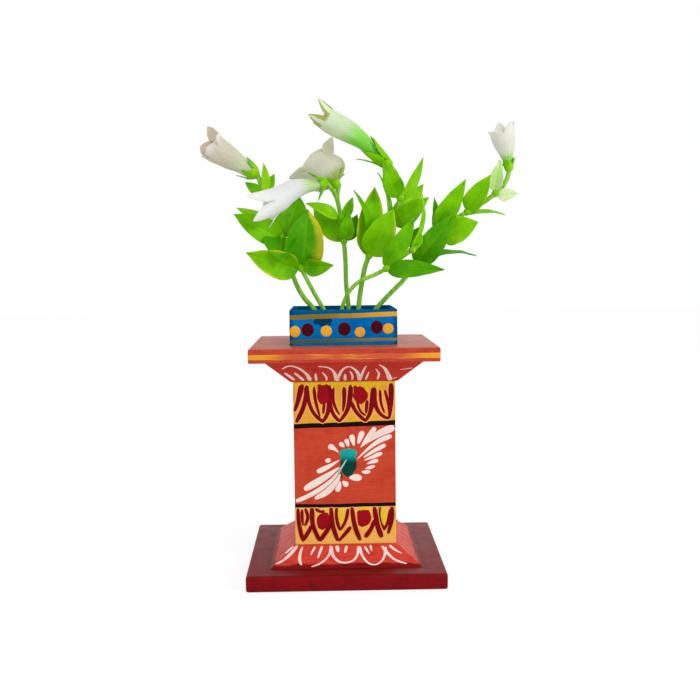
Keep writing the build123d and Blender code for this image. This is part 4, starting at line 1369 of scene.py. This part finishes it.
def cup(throat, foot_radius, sepal_length, sepal_width, spread):
    """A cup for a flower with this throat, and its sepals, which lean out by the spread, in degrees."""
    inside = throat + flower_fit
    rim = inside + calyx_wall
    bowl = turned([(0.1, foot_radius * 0.8), (0.5, foot_radius), (1.6, (foot_radius + rim) / 2),
                   (3.2, rim), (4.9, rim), (calyx_height, inside + 0.1), (calyx_floor, inside)], segments=30)
    mark_green(bowl, 0.7)
    made = [bowl]
    lean = math.radians(spread)
    for place in range(lobe_count):
        angle = math.radians((place + 0.5) * 360 / lobe_count)
        out = Vector((math.cos(angle), math.sin(angle), 0))
        foot = (out * (inside + sepal_seat) + Vector((0, 0, calyx_height - sepal_root))) * mm
        direction = out * math.sin(lean) + Vector((0, 0, math.cos(lean)))
        inward = Vector((0, 0, math.sin(lean))) - out * math.cos(lean)
        facing = frontward(direction)
        turn = math.degrees(math.atan2(facing.cross(inward).dot(direction), facing.dot(inward)))
        made.append(set_leaf(foot, foot + direction * sepal_length * mm, sepal_width, turn,
                             0.5 + 0.1 * (place % 3), thick=0.4, wave=0))
    whole = gather(made)
    smooth(whole, 50)
    return whole


# Colours are in the order of the petal finish: throat, body, lip, inside, margin.
blooms = {
    "left": dict(stem="stem_a", foot=(-43.8, 6.0, 77.0), mouth_at=(-68.6, -1.0, 92.6),
                 sepals=(7.0, 3.2, 14), shape=(3.4, 3.0, 0.45, 7.2), body=24.0, spin=-18, roundness=3.0,
                 flare=0.7,
                 lobes=((5.0, 5, 10), (3.5, 5, 15), (9.5, 6, 24), (7.0, 5, 10), (4.5, 5, 10)),
                 colors=((0.84, 0.89, 0.70), (0.83, 0.81, 0.69), (0.94, 0.93, 0.90),
                         (0.85, 0.76, 0.67), (0.86, 0.80, 0.74)), fade=(0.40, 0.72), streaks=0.2),
    "low": dict(stem="stem_d", foot=(-7.3, -5.3, 73.0), mouth_at=(-38.7, -16.0, 60.3),
                sepals=(6.5, 2.4, 50), shape=(2.6, 4.0, 0.50, 6.9), body=29.0, spin=-36, roundness=2.4,
                flare=0.5, arch=2.4,
                lobes=((16.0, 8, 12), (15.0, 12, 28), (6.0, 5, 10), (4.0, 5, 10), (8.0, 25, 45)),
                colors=((0.76, 0.94, 0.58), (0.98, 0.99, 0.97), (0.96, 0.96, 0.94),
                        (0.97, 0.97, 0.95), (0.93, 0.93, 0.90)), fade=(0.30, 0.95), streaks=0.12),
    "middle": dict(stem="stem_d", foot=(-1.2, 6.2, 70.7), mouth_at=(-15.0, 11.0, 86.5),
                   sepals=(7.0, 2.8, 75), shape=(2.4, 0.6, 1.65, 10.5), body=13.5, spin=-72,
                   roundness=3.0, flare=1.4,
                   lobes=((8.3, 48, 66), (5.0, -8, 0), (8.0, 35, 50), (3.0, 0, 0), (3.0, 0, 5)),
                   colors=((0.60, 0.68, 0.30), (0.83, 0.82, 0.72), (0.87, 0.86, 0.79),
                           (0.80, 0.79, 0.68), (0.84, 0.82, 0.72)), fade=(0.20, 0.85),
                   streaks=0.3),
    "top": dict(stem="stem_e", foot=(26.5, 0.6, 81.0), mouth_at=(-11.1, -10.0, 107.3),
                sepals=(15.0, 5.0, 18), shape=(2.3, 10.0, 0.8, 6.3), body=40.0, spin=36, roundness=1.7,
                flare=0.25, arch=1.6,
                lobes=((10.5, 8, 14), (6.0, 0, 3), (1.5, 0, 0), (4.5, 0, 0), (10.0, 5, 12)),
                margin_start=0.42,
                colors=((0.50, 0.92, 0.24), (0.86, 0.97, 0.74), (0.88, 0.91, 0.76),
                        (0.66, 0.68, 0.38), (0.60, 0.62, 0.30)), fade=(0.50, 0.93), streaks=0.3),
    "right": dict(stem="stem_f", foot=(89.8, 5.0, 78.4), mouth_at=(85.2, 3.0, 100.2),
                  sepals=(4.0, 2.0, 30), shape=(1.9, 3.5, 0.7, 6.4), body=17.3, spin=-40, roundness=1.7,
                  flare=0.3,
                  lobes=((8.5, 50, 88), (6.0, 10, 25), (6.0, 10, 30), (6.5, 0, 10), (2.0, 5, 10)),
                  colors=((0.56, 0.90, 0.24), (0.93, 0.94, 0.86), (0.87, 0.85, 0.77),
                          (0.88, 0.86, 0.79), (0.92, 0.91, 0.86)), fade=(0.27, 0.85), streaks=0.25),
}
for name, bloom in blooms.items():
    start = spray_point(*bloom["foot"])
    end = spray_point(*bloom["mouth_at"])
    axis = (end - start).normalized()
    throat = bloom["shape"][0]
    stem_radius = routes[bloom["stem"]][0] + collar_wall
    seat = upright_at(start, axis)
    holder = settle(cup(throat, stem_radius, *bloom["sepals"]), seat)
    hand_in(holder, f"calyx_{name}_moulded", "plant", leaf_finish, [f"calyx_{name}"])
    colors = [tone(*color) for color in bloom["colors"]]
    petals = petal_plastic(f"petal_plastic_{name}", *colors, *bloom["fade"], bloom["streaks"],
                           bloom.get("margin_start", 0.70))
    flower = settle(trumpet(bloom["body"], *bloom["shape"], bloom["lobes"], bloom["spin"],
                            bloom["roundness"], bloom["flare"], bloom.get("arch", 0.0)),
                    front_at(start + axis * calyx_floor * mm, axis))
    hand_in(flower, f"flower_{name}_moulded", "plant", petals, [f"flower_{name}"])
bpy.data.objects.remove(leaf_mould)

# %% [markdown]
# ## Hidden wood and steel
# The box's floor is unpainted softwood and the nails are plain wire. Hardly any of it shows, but it is
# finished all the same: long grain for the wood, fine drawing lines for the steel.

# %% Wood and steel finishes
wood_finish, tree, shader, place = start_finish("bare_softwood", Roughness=0.7)
grain = noise(tree, vector_maths(tree, "MULTIPLY", place, (40.0, 900.0, 900.0)), 1.0, 5.0, 0.6)
complete(tree, shader, blend_colors(tree, grain, tone(0.80, 0.66, 0.48), tone(0.62, 0.45, 0.28)),
         maths(tree, "MULTIPLY", grain, 0.0001))

steel_finish, tree, shader, place = start_finish("nail_steel", Metallic=1.0)
drawn = noise(tree, place, 2500.0, 2.0)
wire(tree, shader, {
    "Base Color": blend_colors(tree, drawn, tone(0.62, 0.61, 0.60), tone(0.78, 0.77, 0.75)),
    "Roughness": maths(tree, "MULTIPLY_ADD", drawn, 0.25, 0.3)})

give("planter_floor", wood_finish)
give("base_nails", steel_finish)
give("capital_nails", steel_finish)

# %% [markdown]
# ## The floor
# A pale floor lets the colours read as painted and takes the object's shadow. To the camera and to
# reflections it also glows a little, so that it runs into the white backdrop.

# %% Floor
floor_size = 6                    # metres
floor_drop = 0.0002               # just below the object, so that the two faces don't share a plane


def seen_directly(tree):
    """1 for a ray from the camera, or one that a gloss or glass sends on, and 0 for light on the object."""
    rays = add(tree, "LightPath").outputs
    return maths(tree, "MAXIMUM", rays["Is Camera Ray"],
                 maths(tree, "MAXIMUM", rays["Is Glossy Ray"], rays["Is Transmission Ray"]))


floor_finish, tree, shader, place = start_finish("floor_finish", Roughness=0.9)
shader.inputs["Base Color"].default_value = (0.86, 0.86, 0.86, 1)
white_light = add(tree, "Emission", {"Color": (1, 1, 1, 1), "Strength": 1.14})
mixed = add(tree, "MixShader", {0: maths(tree, "MULTIPLY", seen_directly(tree), 0.72),
                                1: shader.outputs["BSDF"], 2: white_light.outputs["Emission"]})
wire(tree, tree.nodes["Material Output"], {"Surface": mixed.outputs["Shader"]})
fresh_start()
bpy.ops.mesh.primitive_plane_add(size=floor_size, location=(0, 0, -floor_drop))
floor = bpy.context.object
floor.name = "studio_floor"
floor.data.materials.append(floor_finish)
print("floor:", floor_size, "m")

# %% [markdown]
# ## The light
# The backdrop is white to the camera and to reflections, and dimmer as a light. Three soft lamps do the
# rest: a key from the right, a fill from the left and one from behind, all turned to the object's middle.

# %% Light
world_light = 0.65
lamp_aim = Vector((0, 0, 0.12))

world = bpy.data.worlds.new("studio")
bpy.context.scene.world = world
world.use_nodes = True
tree = world.node_tree
wire(tree, tree.nodes["Background"], {
    "Color": (1, 1, 1, 1),
    "Strength": maths(tree, "MULTIPLY_ADD", seen_directly(tree), 1.0 - world_light, world_light)})

for name, place, size, power in (("key_lamp", (0.75, -0.8, 0.6), 0.6, 5.5),
                                 ("fill_lamp", (-0.6, -0.9, 0.5), 0.7, 1.2),
                                 ("back_lamp", (0.3, 0.9, 0.8), 0.7, 1.5)):
    fresh_start()
    bpy.ops.object.light_add(type="AREA", location=place)
    lamp = bpy.context.object
    lamp.name = name
    lamp.data.size = size
    lamp.data.energy = power
    lamp.rotation_euler = (lamp_aim - Vector(place)).to_track_quat("-Z", "Y").to_euler()
    print(f"{name}: {power} W")

# %% [markdown]
# ## The camera
# It stands half a metre in front, a little above the box, and looks slightly down. It is turned a touch to
# the right and tilted a touch sideways, as a camera in the hand is.

# %% Camera
camera_place = (-0.00745, -0.5253, 0.160)
camera_turn, camera_dip, camera_tilt = -0.0213, 0.085, -0.0108      # radians

camera_data = bpy.data.cameras.new("camera")
camera = bpy.data.objects.new("camera", camera_data)
bpy.context.scene.collection.objects.link(camera)
camera_data.lens = 50.8
camera_data.sensor_width = 36.0
camera_data.clip_start = 0.01
camera.matrix_world = (Matrix.Translation(camera_place)
                       @ Matrix.Rotation(camera_turn, 4, "Z")
                       @ Matrix.Rotation(math.pi / 2 - camera_dip, 4, "X")
                       @ Matrix.Rotation(camera_tilt, 4, "Z"))
bpy.context.scene.camera = camera
bpy.context.scene.view_settings.view_transform = "Standard"
print("camera at", camera_place)
